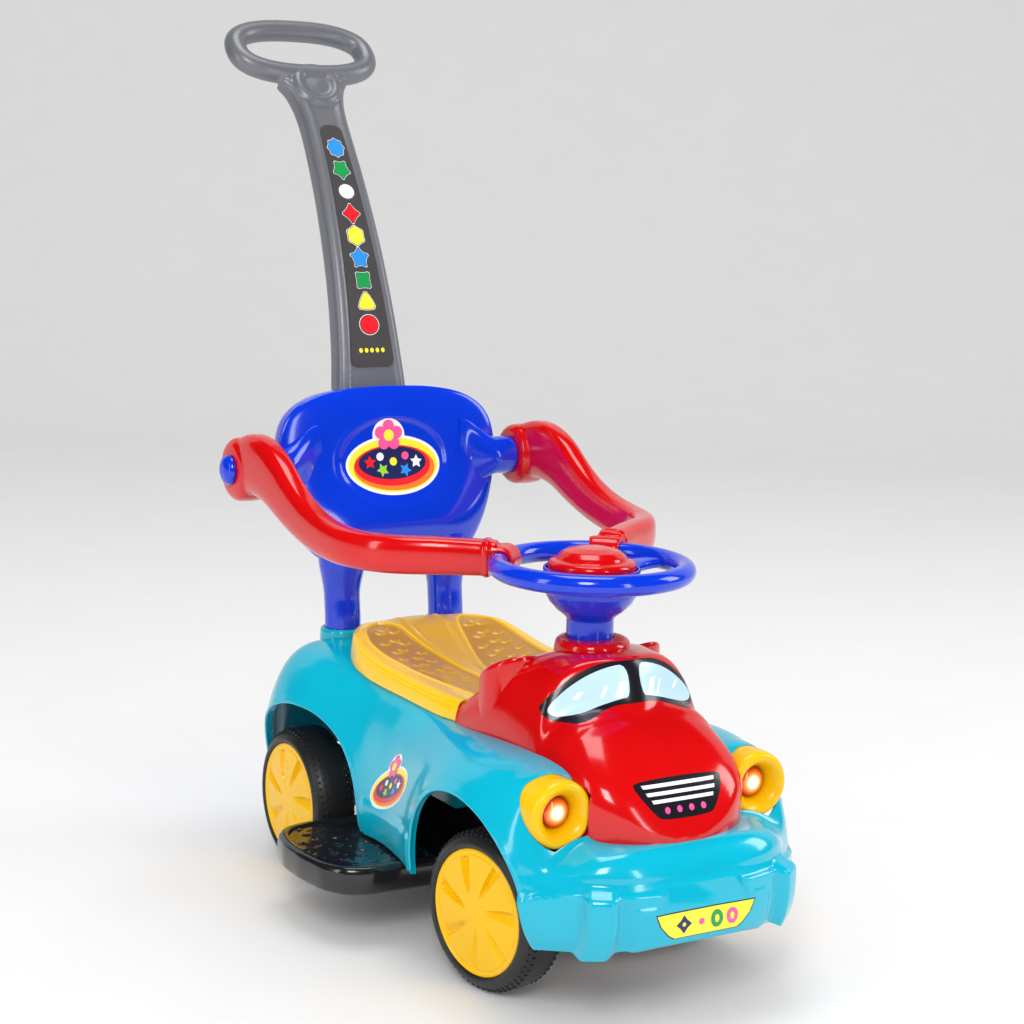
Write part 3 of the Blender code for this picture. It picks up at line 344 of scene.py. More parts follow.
def body_section(ys, m):
    """Half sections of the outer skin for each y: points (n, m, 2) of x, z from the lower edge to the middle line."""
    w = soft(BODY_W, ys, 0.004)[:, None]
    top = soft(BODY_T, ys, 0.004)[:, None]
    low = soft(BODY_B, ys, 0.002)[:, None]
    mid = soft(BODY_MID, ys, 0.012)[:, None]
    sq = soft(BODY_SQ, ys, 0.012)[:, None]
    flat = np.minimum(soft(BODY_TOP, ys, 0.006)[:, None], w - 0.004)
    tuck = (0.0030 + 0.010 * (1 - sstep(-0.275, -0.235, ys)))[:, None]
    mid = np.minimum(mid, low + 0.6 * (top - low))
    k = int(m * 0.28)
    s = np.linspace(0, 1, k, endpoint=False)[None]
    x1, z1 = w - tuck * (1 - s) ** 2.2, low + (mid - low) * s
    j = int(m * 0.52)
    a = np.linspace(0, math.pi / 2, j, endpoint=False)[None]
    x2 = flat + (w - flat) * np.cos(a) ** sq
    z2 = mid + (top - mid) * np.sin(a) ** sq
    i = m - k - j
    s = np.linspace(0, 1, i)[None]
    x3, z3 = flat * (1 - s * 0.995), top + 0 * s
    x, z = np.concatenate([x1, x2, x3], 1), np.concatenate([z1, z2, z3], 1)
    # a brow over each headlight, and a shallow dish in front of it
    brow = (sstep(-0.287, -0.276, ys) * (1 - sstep(-0.270, -0.234, ys)))[:, None]
    dish = (sstep(-0.325, -0.300, ys) * (1 - sstep(-0.291, -0.282, ys)))[:, None]
    upper = np.clip((z - mid) / (top - mid), 0, 1)
    z = z + upper * (0.009 * brow * np.exp(-((x - 0.110) / 0.026) ** 2) - 0.0065 * dish * np.exp(-((x - 0.110) / 0.017) ** 2))
    return np.stack([x, z], 2)


def arch_line(front, n=60):
    """(y, z) along a wheel opening, from its front foot over the top to its rear foot."""
    a = np.linspace(math.pi, 0, n)
    if front:
        c, ahead, behind, sq = -0.1860, 0.0965, 0.0965, 0.80
    else:
        c, ahead, behind, sq = 0.1390, 0.0985, 0.1025, 1.00
    reach = np.where(a > math.pi / 2, ahead, behind)
    return np.stack([c + reach * np.cos(a), 0.078 + 0.0965 * np.sin(a) ** sq], 1)


def arch_distance(y, z, front):
    line = arch_line(front, 160)
    line = np.concatenate([[[line[0, 0], 0.05]], line, [[line[-1, 0], 0.05]]])
    d = np.full(y.shape, 1e9)
    for a, b in zip(line, line[1:]):
        ab = b - a
        t = np.clip(((y - a[0]) * ab[0] + (z - a[1]) * ab[1]) / (ab @ ab), 0, 1)
        d = np.minimum(d, np.hypot(y - a[0] - t * ab[0], z - a[1] - t * ab[1]))
    return d


def build_body():
    ys = np.concatenate([np.linspace(-0.345, -0.318, 40, endpoint=False), np.linspace(-0.318, 0.215, 270, endpoint=False), np.linspace(0.215, 0.264, 50)])
    half = body_section(ys, 84)
    n, m = half.shape[:2]
    left = np.stack([half[..., 0], np.repeat(ys[:, None], m, 1), half[..., 1]], 2)
    loop = np.concatenate([left, left[:, ::-1] * np.array([-1, 1, 1])], 1)
    normals = -grid_normals(loop)
    centre = np.stack([np.zeros(n), ys, np.full(n, 0.12)], 1)[:, None]
    if np.mean(np.sum(normals * (loop - centre), 2)) < 0:
        normals = -normals
    x, y, z = np.abs(loop[..., 0]), loop[..., 1], loop[..., 2]
    side = sstep(0.25, 0.6, np.abs(normals[..., 0]))
    face = sstep(0.35, 0.75, -normals[..., 1])
    d = np.zeros_like(x)
    # rolled rim along the wheel openings and flared fender over them
    for front in (True, False):
        dist = arch_distance(y, z, front)
        d += side * (0.0012 * np.exp(-(dist / 0.0032) ** 2) + 0.0025 * np.exp(-(dist / 0.018) ** 2))
    # sill step between the wheels
    sill = sstep(-0.088, -0.078, y) * (1 - sstep(0.030, 0.040, y))
    d += side * sill * 0.0022 * (1 - sstep(0.1035, 0.1065, z))
    # bumper: stands proud of the fenders below a step, with two overriders and a middle pad
    front_part = 1 - sstep(-0.258, -0.250, y)
    step_z = 0.1225 - 0.0105 * sstep(-0.318, -0.262, y)
    low_part = 1 - sstep(-0.0016, 0.0016, z - step_z)
    around = np.maximum(side, sstep(0.2, 0.5, -normals[..., 1]))
    d += around * front_part * 0.0034 * low_part
    lump = np.clip(1 - np.hypot(np.maximum(0, np.abs(x - 0.0890) - 0.0060) / 0.0080, np.maximum(0, z - 0.1170) / 0.0130), 0, 1)
    lump = lump * lump * (3 - 2 * lump)
    d += 0.0092 * lump * sstep(0.25, 0.6, -normals[..., 1])
    pad = (1 - sstep(0.0640, 0.0680, x)) * (1 - sstep(0.1090, 0.1125, z)) * face
    d += pad * 0.0010
    # soft hollow between the ledge and the bumper
    d -= face * 0.0012 * np.exp(-((z - 0.1300) / 0.0045) ** 2)
    loop = loop + normals * d[..., None]
    loop[..., 1] = np.maximum(loop[..., 1], -0.3480)
    verts = loop.reshape(-1, 3)
    body = mesh_object("body_shell_skin", verts, tube_faces(n, 2 * m), CYAN, None)
    # hollow inside
    ys2 = np.concatenate([np.linspace(-0.3415, -0.318, 10, endpoint=False), np.linspace(-0.318, 0.215, 60, endpoint=False), np.linspace(0.215, 0.2605, 14)])
    h2 = body_section(ys2, 30)
    h2[..., 0] = np.maximum(h2[..., 0] - 0.0030, h2[..., 0] * 0.3)
    h2[..., 1] -= 0.0030
    h2[:, 0, 1] = 0.03
    h2[:, 1, 1] = 0.06
    left2 = np.stack([h2[..., 0], np.repeat(ys2[:, None], 30, 1), h2[..., 1]], 2)
    loop2 = np.concatenate([left2, left2[:, ::-1] * np.array([-1, 1, 1])], 1)
    modifier_boolean(body, loop2.reshape(-1, 3), tube_faces(len(ys2), 60))
    for front in (True, False):
        line = arch_line(front, 48)
        outline = [(line[0, 0], 0.02)] + [tuple(p) for p in line] + [(line[-1, 0], 0.02)]
        modifier_boolean(body, *extrude_x(outline, -0.2, 0.2))
    for s in (1, -1):
        modifier_boolean(body, *cylinder((s * 0.0998, -0.2350, 0.1768), (s * 0.0998, LAMP - 0.0022, 0.1768), 0.0294, 64))
    modifier_boolean(body, *box_mesh((-0.070, -0.055, 0.150), (0.070, 0.130, 0.260)))
    # post collars
    for s in (1, -1):
        modifier_boolean(body, *lathe(rounded_profile([(0, 0.200), (0.0235, 0.200), (0.0225, 0.2300), (0.0210, 0.2325), (0.0184, 0.2325), (0.0184, 0.22), (0, 0.22)][:5] + [(0, 0.2325)], 0.0012), (s * 0.059, 0.200, 0), (0, 0, 1), 48), operation="UNION")
        modifier_boolean(body, *cylinder((s * 0.059, 0.200, 0.15), (s * 0.059, 0.200, 0.26), 0.0186))
    finish_mesh(body, 32)
    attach(body, "car")
    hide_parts("body_shell")
    # rolled rims that catch the light along the openings
    rims = []
    for front in (True, False):
        line = arch_line(front, 90)
        line = np.concatenate([[[line[0, 0], 0.0735]], line])
        line = line[line[:, 1] > soft(BODY_B, line[:, 0], 0.002) + 0.0010]
        sec = body_section(line[:, 0], 200)
        xs = np.array([np.interp(zz, s[:150, 1], s[:150, 0]) for zz, s in zip(line[:, 1], sec)]) + 0.0026
        for s in (1, -1):
            rims.append(sweep(np.stack([s * xs, line[:, 0], line[:, 1]], 1), 0.0016, 10, up=(1, 0, 0)))
    verts, faces = merge(rims)
    mesh_object("wheel_arch_rims", verts, faces, CYAN, "car", smooth=60)
    return body


def merge(parts):
    verts, faces = [], []
    for v, f in parts:
        base = len(verts)
        verts += [tuple(p) for p in v]
        faces += [tuple(i + base for i in face) for face in f]
    return verts, faces


# ------------------------------------------------------------------ hood
BONNET_TOP = [(-0.3230, 0.1570), (-0.3212, 0.1620), (-0.3180, 0.1690), (-0.3145, 0.1775), (-0.308, 0.1895), (-0.296, 0.2040), (-0.280, 0.2170), (-0.263, 0.2300), (-0.250, 0.2395),
              (-0.243, 0.2440), (-0.235, 0.2475), (-0.225, 0.2490), (-0.190, 0.2490), (-0.170, 0.2300), (-0.088, 0.2000)]
HOOD_TOP = [(-0.2600, 0.2872), (-0.2120, 0.2872), (-0.190, 0.2875), (-0.165, 0.2845), (-0.140, 0.2730), (-0.120, 0.2590), (-0.100, 0.2430), (-0.088, 0.2320)]
HOOD_W = [(-0.3230, 0.010), (-0.3212, 0.0235), (-0.3174, 0.0390), (-0.3120, 0.0515), (-0.306, 0.0610), (-0.298, 0.0700), (-0.290, 0.0760), (-0.280, 0.0805), (-0.268, 0.0832), (-0.250, 0.0848),
          (-0.225, 0.0860), (-0.200, 0.0870), (-0.160, 0.0895), (-0.120, 0.0920), (-0.088, 0.0925)]
BONNET_E = [(-0.3230, 0.62), (-0.310, 0.54), (-0.295, 0.50), (-0.275, 0.52), (-0.250, 0.60), (-0.200, 0.62), (-0.088, 0.50)]
HOOD_EX = [(-0.3230, 0.62), (-0.215, 0.62), (-0.195, 0.60), (-0.170, 0.52), (-0.130, 0.36), (-0.088, 0.34)]
HOOD_EZ = [(-0.3230, 0.78), (-0.215, 0.78), (-0.195, 0.72), (-0.170, 0.60), (-0.130, 0.48), (-0.088, 0.36)]
KNEE = 0.168


def screen_y(x, z):
    """The curved windscreen: two panes that meet at a soft ridge in the middle, leaning back."""
    return -0.239 + 0.32 * (z - 0.252) + 0.46 * (np.hypot(x, 0.012) - 0.012)


def hood_section(ys, m):
    """Half sections: an upright skirt, then the outer envelope of the bonnet and the greenhouse, as rays from the middle line."""
    w = soft(HOOD_W, ys, 0.0015)
    k = int(m * 0.12)
    theta = np.linspace(0, math.pi / 2, m - k)
    theta = theta - 0.12 * np.sin(4 * theta) / 4
    r = np.arange(0.0004, 0.136, 0.0004)
    gx, gz = r[None] * np.cos(theta)[:, None], r[None] * np.sin(theta)[:, None]
    out, rads = np.zeros((len(ys), m, 2)), np.zeros((len(ys), m - k))
    tops = [soft(t, ys, 0.0025) for t in (BONNET_TOP, HOOD_TOP)]
    expo = [soft(t, ys, 0.004) for t in (BONNET_E, HOOD_EX, HOOD_EZ)]
    for i, y in enumerate(ys):
        knee = min(KNEE, 0.148 + 0.5 * (tops[0][i] - 0.148))
        radius = []
        for top, ex, ez, cut in ((tops[0][i], expo[0][i], expo[0][i], False), (tops[1][i], expo[1][i], expo[2][i], True)):
            inside = (gx / w[i]) ** (2 / ex) + (gz / (top - knee)) ** (2 / ez) <= 1
            if cut:
                inside &= y >= screen_y(gx, gz + knee)
            count = inside.sum(1)
            radius.append(np.where(count > 0, r[np.maximum(count - 1, 0)], 0.0))
        h = np.clip(0.5 + 0.5 * (radius[1] - radius[0]) / 0.005, 0, 1)
        rads[i] = radius[0] * (1 - h) + radius[1] * h + 0.005 * h * (1 - h)
    even = rads.copy()
    for _ in range(110):
        even[1:-1] = 0.25 * even[:-2] + 0.5 * even[1:-1] + 0.25 * even[2:]
    keep = (sstep(-0.280, -0.252, ys) * (1 - sstep(-0.195, -0.165, ys)))[:, None]
    rads = rads * (1 - keep) + even * keep
    for i, y in enumerate(ys):
        knee, rad = min(KNEE, 0.148 + 0.5 * (tops[0][i] - 0.148)), rads[i]
        s = np.linspace(0, 1, k, endpoint=False)
        out[i, :k, 0], out[i, :k, 1] = w[i] - 0.0015 * (1 - s), 0.148 + (knee - 0.148) * s
        out[i, k:, 0], out[i, k:, 1] = rad * np.cos(theta), knee + rad * np.sin(theta)
        out[i, -1, 0] = 0.0002
    return out


def build_hood():
    ys = np.concatenate([np.linspace(-0.3230, -0.300, 44, endpoint=False), np.linspace(-0.300, -0.248, 50, endpoint=False), np.linspace(-0.248, -0.200, 96, endpoint=False), np.linspace(-0.200, -0.0872, 90)])
    half = hood_section(ys, 100)
    n, m = half.shape[:2]
    left = np.stack([half[..., 0], np.repeat(ys[:, None], m, 1), half[..., 1]], 2)
    loop = np.concatenate([left, left[:, ::-1] * np.array([-1, 1, 1])], 1)
    normals = grid_normals(loop)
    if np.mean(np.sum(normals * (loop - np.array([0, -0.2, 0.18])), 2)) < 0:
        normals = -normals
    x, y, z = loop[..., 0], loop[..., 1], loop[..., 2]
    d = np.zeros_like(x)
    d += 0.0008 * np.exp(-(((x / 0.0075) ** 2 + ((y + 0.263) / 0.0075) ** 2) - 1) ** 2 / 0.25) * sstep(0.2, 0.22, z)
    loop = loop + normals * d[..., None]
    keep = loop.copy()
    for _ in range(40):
        loop[1:-1, 1:-1] = loop[1:-1, 1:-1] * 0.5 + (loop[:-2, 1:-1] + loop[2:, 1:-1] + loop[1:-1, :-2] + loop[1:-1, 2:]) * 0.125
        loop[:, :6], loop[:, -6:] = keep[:, :6], keep[:, -6:]
    hood = mesh_object("hood_skin", loop.reshape(-1, 3), tube_faces(n, 2 * m), RED, None)
    for s in (1, -1):
        rows = []
        a = np.linspace(0, 2 * math.pi, 64, endpoint=False)
        for z, k in ((0.2150, 0.995), (0.2320, 0.992), (-0.0060, 0.975), (-0.0036, 0.965), (-0.0018, 0.945), (-0.0006, 0.91), (0.0, 0.86), (0.0003, 0.60), (0.0004, 0.20)):
            px, py = 0.0600 + 0.0300 * k * np.cos(a), -0.1330 + 0.0300 * k * np.sin(a)
            top = 0.2824 - 0.607 * (py + 0.1623) + 0.10 * (px - 0.0675)
            rows.append(np.stack([s * px, py, np.full(64, z) if z > 0.1 else top + z], 1)[::s])
        modifier_boolean(hood, np.array(rows).reshape(-1, 3), tube_faces(len(rows), 64), operation="UNION")
    prof = rounded_profile([(0, 0.250), (0.0378, 0.250), (0.0350, 0.2690), (0.0325, 0.2925), (0.0, 0.2925)], 0.006, 8)
    modifier_boolean(hood, *lathe(prof, (0, COL - 0.005, 0), (0, 0, 1), 72), operation="UNION")
    modifier_boolean(hood, *cylinder((0, COL, 0.20), (0, COL, 0.31), 0.0216, 64))
    for s in (1, -1):
        modifier_boolean(hood, *cylinder((s * 0.0998, -0.2350, 0.1768), (s * 0.0998, LAMP - 0.0022, 0.1768), 0.0294, 64))
    finish_mesh(hood, 38)
    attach(hood, "car")
    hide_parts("hood")
    return hood


# ------------------------------------------------------------------ seat lid
SEAT_W = [(-0.083, 0.090), (-0.060, 0.0940), (0.0, 0.0955), (0.060, 0.0965), (0.095, 0.0950), (0.122, 0.0885), (0.143, 0.0770), (0.159, 0.0610), (0.169, 0.0450), (0.1745, 0.0300), (0.1765, 0.020)]
SEAT_SHOULDER = [(-0.083, 0.2260), (0.0, 0.2280), (0.060, 0.2310), (0.100, 0.2370), (0.130, 0.2435), (0.155, 0.2445), (0.170, 0.2400), (0.1765, 0.2330)]
SEAT_CENTRE = [(-0.083, 0.2180), (0.0, 0.2175), (0.035, 0.2190), (0.070, 0.2250), (0.105, 0.2350), (0.130, 0.2450), (0.150, 0.2475), (0.170, 0.2430), (0.1765, 0.2345)]


def build_seat():
    ys = np.concatenate([np.linspace(-0.0865, 0.150, 178, endpoint=False), np.linspace(0.150, 0.1765, 42)])
    w = soft(SEAT_W, ys, 0.002)[:, None]
    sh = soft(SEAT_SHOULDER, ys, 0.004)[:, None]
    mid = soft(SEAT_CENTRE, ys, 0.006)[:, None]
    low = soft(BODY_T, ys, 0.004)[:, None] + 0.0004
    s = np.linspace(0, 1, 14, endpoint=False)[None]
    x1, z1 = w * (1 - 0.02 * s**2), low + (sh - 0.006 - low) * s
    a = np.linspace(0, math.pi / 2, 16, endpoint=False)[None]
    edge = np.minimum(0.008, w * 0.3)
    x2 = w * 0.98 - edge * (1 - np.cos(a))
    z2 = sh - 0.006 + 0.006 * np.sin(a)
    s = np.linspace(0, 1, 76)[None]
    x3 = (w * 0.98 - edge) * (1 - s * 0.999)
    z3 = sh + (mid - sh) * sstep(0, 1, s * 1.05)
    half = np.stack([np.concatenate([x1, x2, x3], 1), np.concatenate([z1, z2, z3], 1)], 2)
    n, m = half.shape[:2]
    left = np.stack([half[..., 0], np.repeat(ys[:, None], m, 1), half[..., 1]], 2)
    loop = np.concatenate([left, left[:, ::-1] * np.array([-1, 1, 1])], 1)
    x, y = np.abs(loop[..., 0]), loop[..., 1]
    topside = np.concatenate([np.zeros((n, 22)), np.ones((n, m - 22))], 1)
    topside = np.concatenate([topside, topside[:, ::-1]], 1)
    # two sole-shaped panels with raised edges, on each side of a channel that opens to the rear
    wide = soft(SEAT_W, ys, 0.002)[:, None]
    inner = 0.0085 + 0.026 * sstep(0.01, 0.16, y)
    outer = wide * 0.80 - 0.010 * sstep(0.03, -0.09, y) + 0.003 * sstep(0.03, 0.10, y)
    panel = np.minimum(np.minimum(x - inner, outer - x), (0.152 - y) * 0.8)
    corner = np.hypot(np.maximum(0, 0.030 - (x - inner)), np.maximum(0, y - 0.122))
    panel = np.minimum(panel, 0.030 - corner)
    corner = np.hypot(np.maximum(0, 0.030 - (outer - x)), np.maximum(0, y - 0.122))
    panel = np.minimum(panel, 0.030 - corner)
    ridge = np.exp(-(panel / 0.0017) ** 2)
    inside = sstep(0.0, 0.0030, panel)
    dz = topside * (0.0017 * ridge - 0.0012 * inside)
    spine = np.exp(-((x - inner * 0.62) / 0.0018) ** 2) * sstep(0.165, 0.150, y)
    dz += topside * spine * 0.0014
    tread_with_painted_highlights = topside * np.clip(inside * 1.0 + 0.55 * (x < inner) * sstep(0.17, 0.155, y), 0, 1) * (1 - 0.8 * ridge)
    # crescents in the panels, smaller towards the front; each is raised and also painted lighter, a painted highlight
    for k in range(9):
        yc = 0.128 - k * 0.0225 + 0.0006 * k * k
        size = 0.0062 - 0.00030 * k
        for j in range(3 if k < 6 else 2):
            f = (j + 0.5 + 0.30 * (((k + j) % 2) - 0.5)) / (3 if k < 6 else 2)
            i0 = float(0.0085 + 0.026 * sstep(0.01, 0.16, yc)) + 0.008
            o0 = float(soft(SEAT_W, [yc], 0.002)[0] * 0.80 - 0.010 * sstep(0.03, -0.09, yc)) - 0.008
            xc = i0 + (o0 - i0) * f
            yy = yc + 0.006 * ((j % 2) - 0.5)
            dist = np.hypot(x - xc, y - yy)
            ang = np.arctan2(-(y - yy), x - xc)
            arc = np.exp(-((dist - size) / 0.0011) ** 2) * sstep(0.0, 0.55, np.sin(ang))
            dz += topside * inside * 0.0017 * arc
            # painted highlight: the crescent is cut out of the dark tread mask and shows light yellow
            tread_with_painted_highlights = tread_with_painted_highlights * (1 - 0.55 * arc * topside)
    loop[..., 2] += dz
    faces = grid_faces(n, 2 * m)
    inset = loop.copy()
    inset[..., 0] *= 0.955
    inset[..., 2] -= 0.003
    inset[..., 1] = np.clip(inset[..., 1], -0.0835, 0.1735)
    inset[:, [0, -1], 2] += 0.003
    verts = np.concatenate([loop.reshape(-1, 3), inset.reshape(-1, 3)])
    count = n * 2 * m
    faces += grid_faces(n, 2 * m, offset=count)
    for i in range(n - 1):
        faces.append((i * 2 * m, (i + 1) * 2 * m, count + (i + 1) * 2 * m, count + i * 2 * m))
        k = 2 * m - 1
        faces.append((i * 2 * m + k, count + i * 2 * m + k, count + (i + 1) * 2 * m + k, (i + 1) * 2 * m + k))
    for i in (0, n - 1):
        for j in range(2 * m - 1):
            faces.append((i * 2 * m + j, i * 2 * m + j + 1, count + i * 2 * m + j + 1, count + i * 2 * m + j))
    seat = mesh_object("seat_lid_skin", verts, faces, SEAT, "seat", ("seat_lid",), smooth=0)
    near = BVHTree.FromPolygons([tuple(v) for v in loop.reshape(-1, 3)], grid_faces(n, 2 * m))
    flat = tread_with_painted_highlights.reshape(-1)
    cloud = loop.reshape(-1, 3)
    grid = grid_faces(n, 2 * m)
    values = []
    for q in seat.data.vertices:
        spot = Vector((q.co.x, q.co.y - YS, q.co.z))
        hit = near.find_nearest(spot)
        if hit[3] > 0.0004:
            values.append(0.0)
            continue
        corners = grid[hit[2]]
        values.append(float(flat[min(corners, key=lambda c: (cloud[c][0] - spot.x) ** 2 + (cloud[c][1] - spot.y) ** 2)]))
    # per-vertex tread mask, carrying the painted highlights of the crescents
    att = seat.data.attributes.new("tread_with_painted_highlights", "FLOAT", "POINT")
    att.data.foreach_set("value", np.array(values, np.float32))
    return seat


# ------------------------------------------------------------------ backrest
BACK_HALF = [(0.0, 0.2960), (0.045, 0.2960), (0.076, 0.2975), (0.0885, 0.3040), (0.0975, 0.3180), (0.1090, 0.3400), (0.1175, 0.3650), (0.1225, 0.3950),
             (0.1225, 0.4200), (0.1165, 0.4400), (0.1010, 0.4550), (0.0780, 0.4645), (0.0460, 0.4695), (0.0, 0.4710)]
BACK_MID = 0.388


def back_y(z):
    return 0.2070 + 0.105 * (z - 0.300)


def back_outline(n=160):
    pts = np.array(BACK_HALF[:-1] + [(-x, z) for x, z in reversed(BACK_HALF[1:])])
    p = np.concatenate([pts, pts[:1]])
    d = np.concatenate([[0], np.cumsum(np.hypot(*np.diff(p, axis=0).T))])
    t = np.linspace(0, d[-1], n, endpoint=False)
    out = np.stack([np.interp(t, d, p[:, 0]), np.interp(t, d, p[:, 1])], 1)
    for _ in range(8):
        out = (np.roll(out, 1, 0) + 2 * out + np.roll(out, -1, 0)) / 4
    return out


def build_backrest():
    out = back_outline()
    rel = out - np.array([0, BACK_MID])
    ss = np.concatenate([np.linspace(1, 0.93, 16, endpoint=False), np.linspace(0.93, 0.02, 60)])
    for sign, bulge, name, node in ((-1, 0.0080, "backrest_front_skin", "backrest_front"), (1, 0.0620, "backrest_rear_skin", "backrest_rear")):
        rows = []
        for s in ss:
            x, z = rel[:, 0] * s, BACK_MID + rel[:, 1] * s
            rise = (1 - s ** 2.6) ** (1 / 2.2)
            d = bulge * rise
            if sign < 0:
                d = d * (1 + 2.7 * (1 - sstep(0.322, 0.402, z)))
                oval = np.hypot(x / 0.062, (z - 0.396) / 0.044)
                d = d - 0.0014 * (1 - sstep(0.90, 1.0, oval)) + 0.0005 * np.exp(-((oval - 1.05) / 0.04) ** 2)
            rows.append(np.stack([x, back_y(z) + sign * (0.0003 + d), z], 1))
        rows = np.array(rows)
        n, m = rows.shape[:2]
        inner = rows.copy()
        inner[..., 1] = back_y(inner[..., 2]) + sign * np.maximum(0.0003, np.abs(rows[..., 1] - back_y(inner[..., 2])) - 0.003)
        inner[..., 0] *= 0.985
        verts = np.concatenate([rows.reshape(-1, 3), inner.reshape(-1, 3)])
        faces = grid_faces(n, m, wrap_v=True) + [tuple((n - 1) * m + j for j in range(m))]
        c = n * m
        faces += grid_faces(n, m, wrap_v=True, offset=c) + [tuple(c + (n - 1) * m + j for j in range(m))]
        faces += [(j, (j + 1) % m, c + (j + 1) % m, c + j) for j in range(m)]
        shell = mesh_object(name, verts, faces, BLUE, None)
        if sign > 0:
            modifier_boolean(shell, *handle_solid(0.0006, np.linspace(0.383, 0.56, 40)))
        finish_mesh(shell, 40)
        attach(shell, "car")
        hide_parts(node)
        if sign < 0:
            shield = shell
    # posts that flare into the backrest
    for s, tag in ((1, "left"), (-1, "right")):
        prof = [(0.0145, 0.155), (0.018, 0.155)] + [(0.018 + 0.006 * float(sstep(0.262, 0.305, z)), z) for z in np.linspace(0.16, 0.305, 40)] + [(0.0238, 0.308), (0.0222, 0.314), (0.0180, 0.320), (0.0100, 0.3245), (0.004, 0.3255)]
        v, f = lathe(prof, (s * 0.059, 0.200, 0), (0, 0, 1), 56)
        v = [(x, y + 0.0035 * float(sstep(0.235, 0.275, z)), z) for x, y, z in v]
        mesh_object("backrest_post_skin_" + tag, v, f, BLUE, "car", ("backrest_post_" + tag,), smooth=35)
        # pivot boss: round at the arm, spreading into the shield
        xs = np.concatenate([np.linspace(0.079, 0.1372, 60), [0.1384, 0.1390]])
        spread = sstep(0.081, 0.122, xs)
        phi = np.linspace(0, 2 * math.pi, 64, endpoint=False)
        rows = []
        for x, k in zip(xs, spread):
            shrink = 0.0 if x < 0.138 else (x - 0.1374) * 0.6
            high, front, rear = 0.0400 - 0.0205 * k - shrink, 0.0030 + 0.0165 * k - shrink, 0.0320 - 0.0125 * k - shrink
            rows.append(np.stack([np.full(64, x), 0.2142 - np.where(np.cos(phi) > 0, front, rear) * np.cos(phi), 0.3955 + high * np.sin(phi)], 1))
        mesh_object("pivot_boss_skin_" + tag, np.array(rows).reshape(-1, 3) * np.array([s, 1, 1]), tube_faces(len(rows), 64), BLUE, "car", ("pivot_boss_" + tag,), smooth=50)
        cap = rounded_profile([(0, 0.1763), (0.0147, 0.1763), (0.0147, 0.1790), (0.0125, 0.1825), (0.0070, 0.1847), (0, 0.1853)], 0.002, 5)
        v, f = lathe(cap, (0, 0.2142, 0.3955), (1, 0, 0), 40)
        mesh_object("pivot_cap_skin_" + tag, [(s * x, y, z) for x, y, z in v], f, BLUE, "car", ("pivot_cap_" + tag,), smooth=60)
    return shield


# ------------------------------------------------------------------ push handle
HANDLE_WIDTH = [(0.380, 0.0720), (0.460, 0.0780), (0.500, 0.0725), (0.560, 0.0650), (0.620, 0.0590), (0.690, 0.0525), (0.732, 0.0500), (0.748, 0.0520), (0.762, 0.0590), (0.771, 0.0680), (0.779, 0.0820)]
HANDLE_DEPTH = [(0.380, 0.0280), (0.460, 0.0300), (0.740, 0.0260), (0.772, 0.0230)]


def handle_front(z):
    t = np.asarray(z, float) - 0.4666
    return 0.2518 + 0.172 * t + np.where(t > 0, 0.965 * t * t, 0)


def handle_slope(z):
    t = np.asarray(z, float) - 0.4666
    return 0.172 + np.where(t > 0, 1.93 * t, 0)


def handle_rows(grow, zs, relief=False, m=96):
    a = np.linspace(0, 2 * math.pi, m, endpoint=False)
    rows = []
    for z in zs:
        w = float(cubic(HANDLE_WIDTH, z)) + 2 * grow
        d = float(cubic(HANDLE_DEPTH, z)) + 2 * grow
        c, s = np.cos(a), np.sin(a)
        px = w / 2 * np.sign(c) * np.abs(c) ** 0.42
        pb = d / 2 * np.sign(s) * np.abs(s) ** 0.42
        if relief:
            front = sstep(0.2, 0.9, -s)
            rail = np.exp(-((np.abs(px) - (w / 2 - 0.0065)) / 0.0035) ** 2)
            inside = 1 - sstep(w / 2 - 0.0125, w / 2 - 0.0095, np.abs(px))
            pb = pb + front * (0.0016 * inside - 0.0004 * rail)
        slope = float(handle_slope(z))
        along = np.array([0, slope, 1]) / math.hypot(slope, 1)
        back = np.array([0, along[2], -along[1]])
        origin = np.array([0, float(handle_front(z)), z]) + back * (float(cubic(HANDLE_DEPTH, z)) / 2)
        rows.append(origin + px[:, None] * np.array([1, 0, 0]) + pb[:, None] * back)
    return np.array(rows)


def handle_solid(grow, zs):
    rows = handle_rows(grow, zs, m=40)
    return rows.reshape(-1, 3), tube_faces(len(zs), 40)


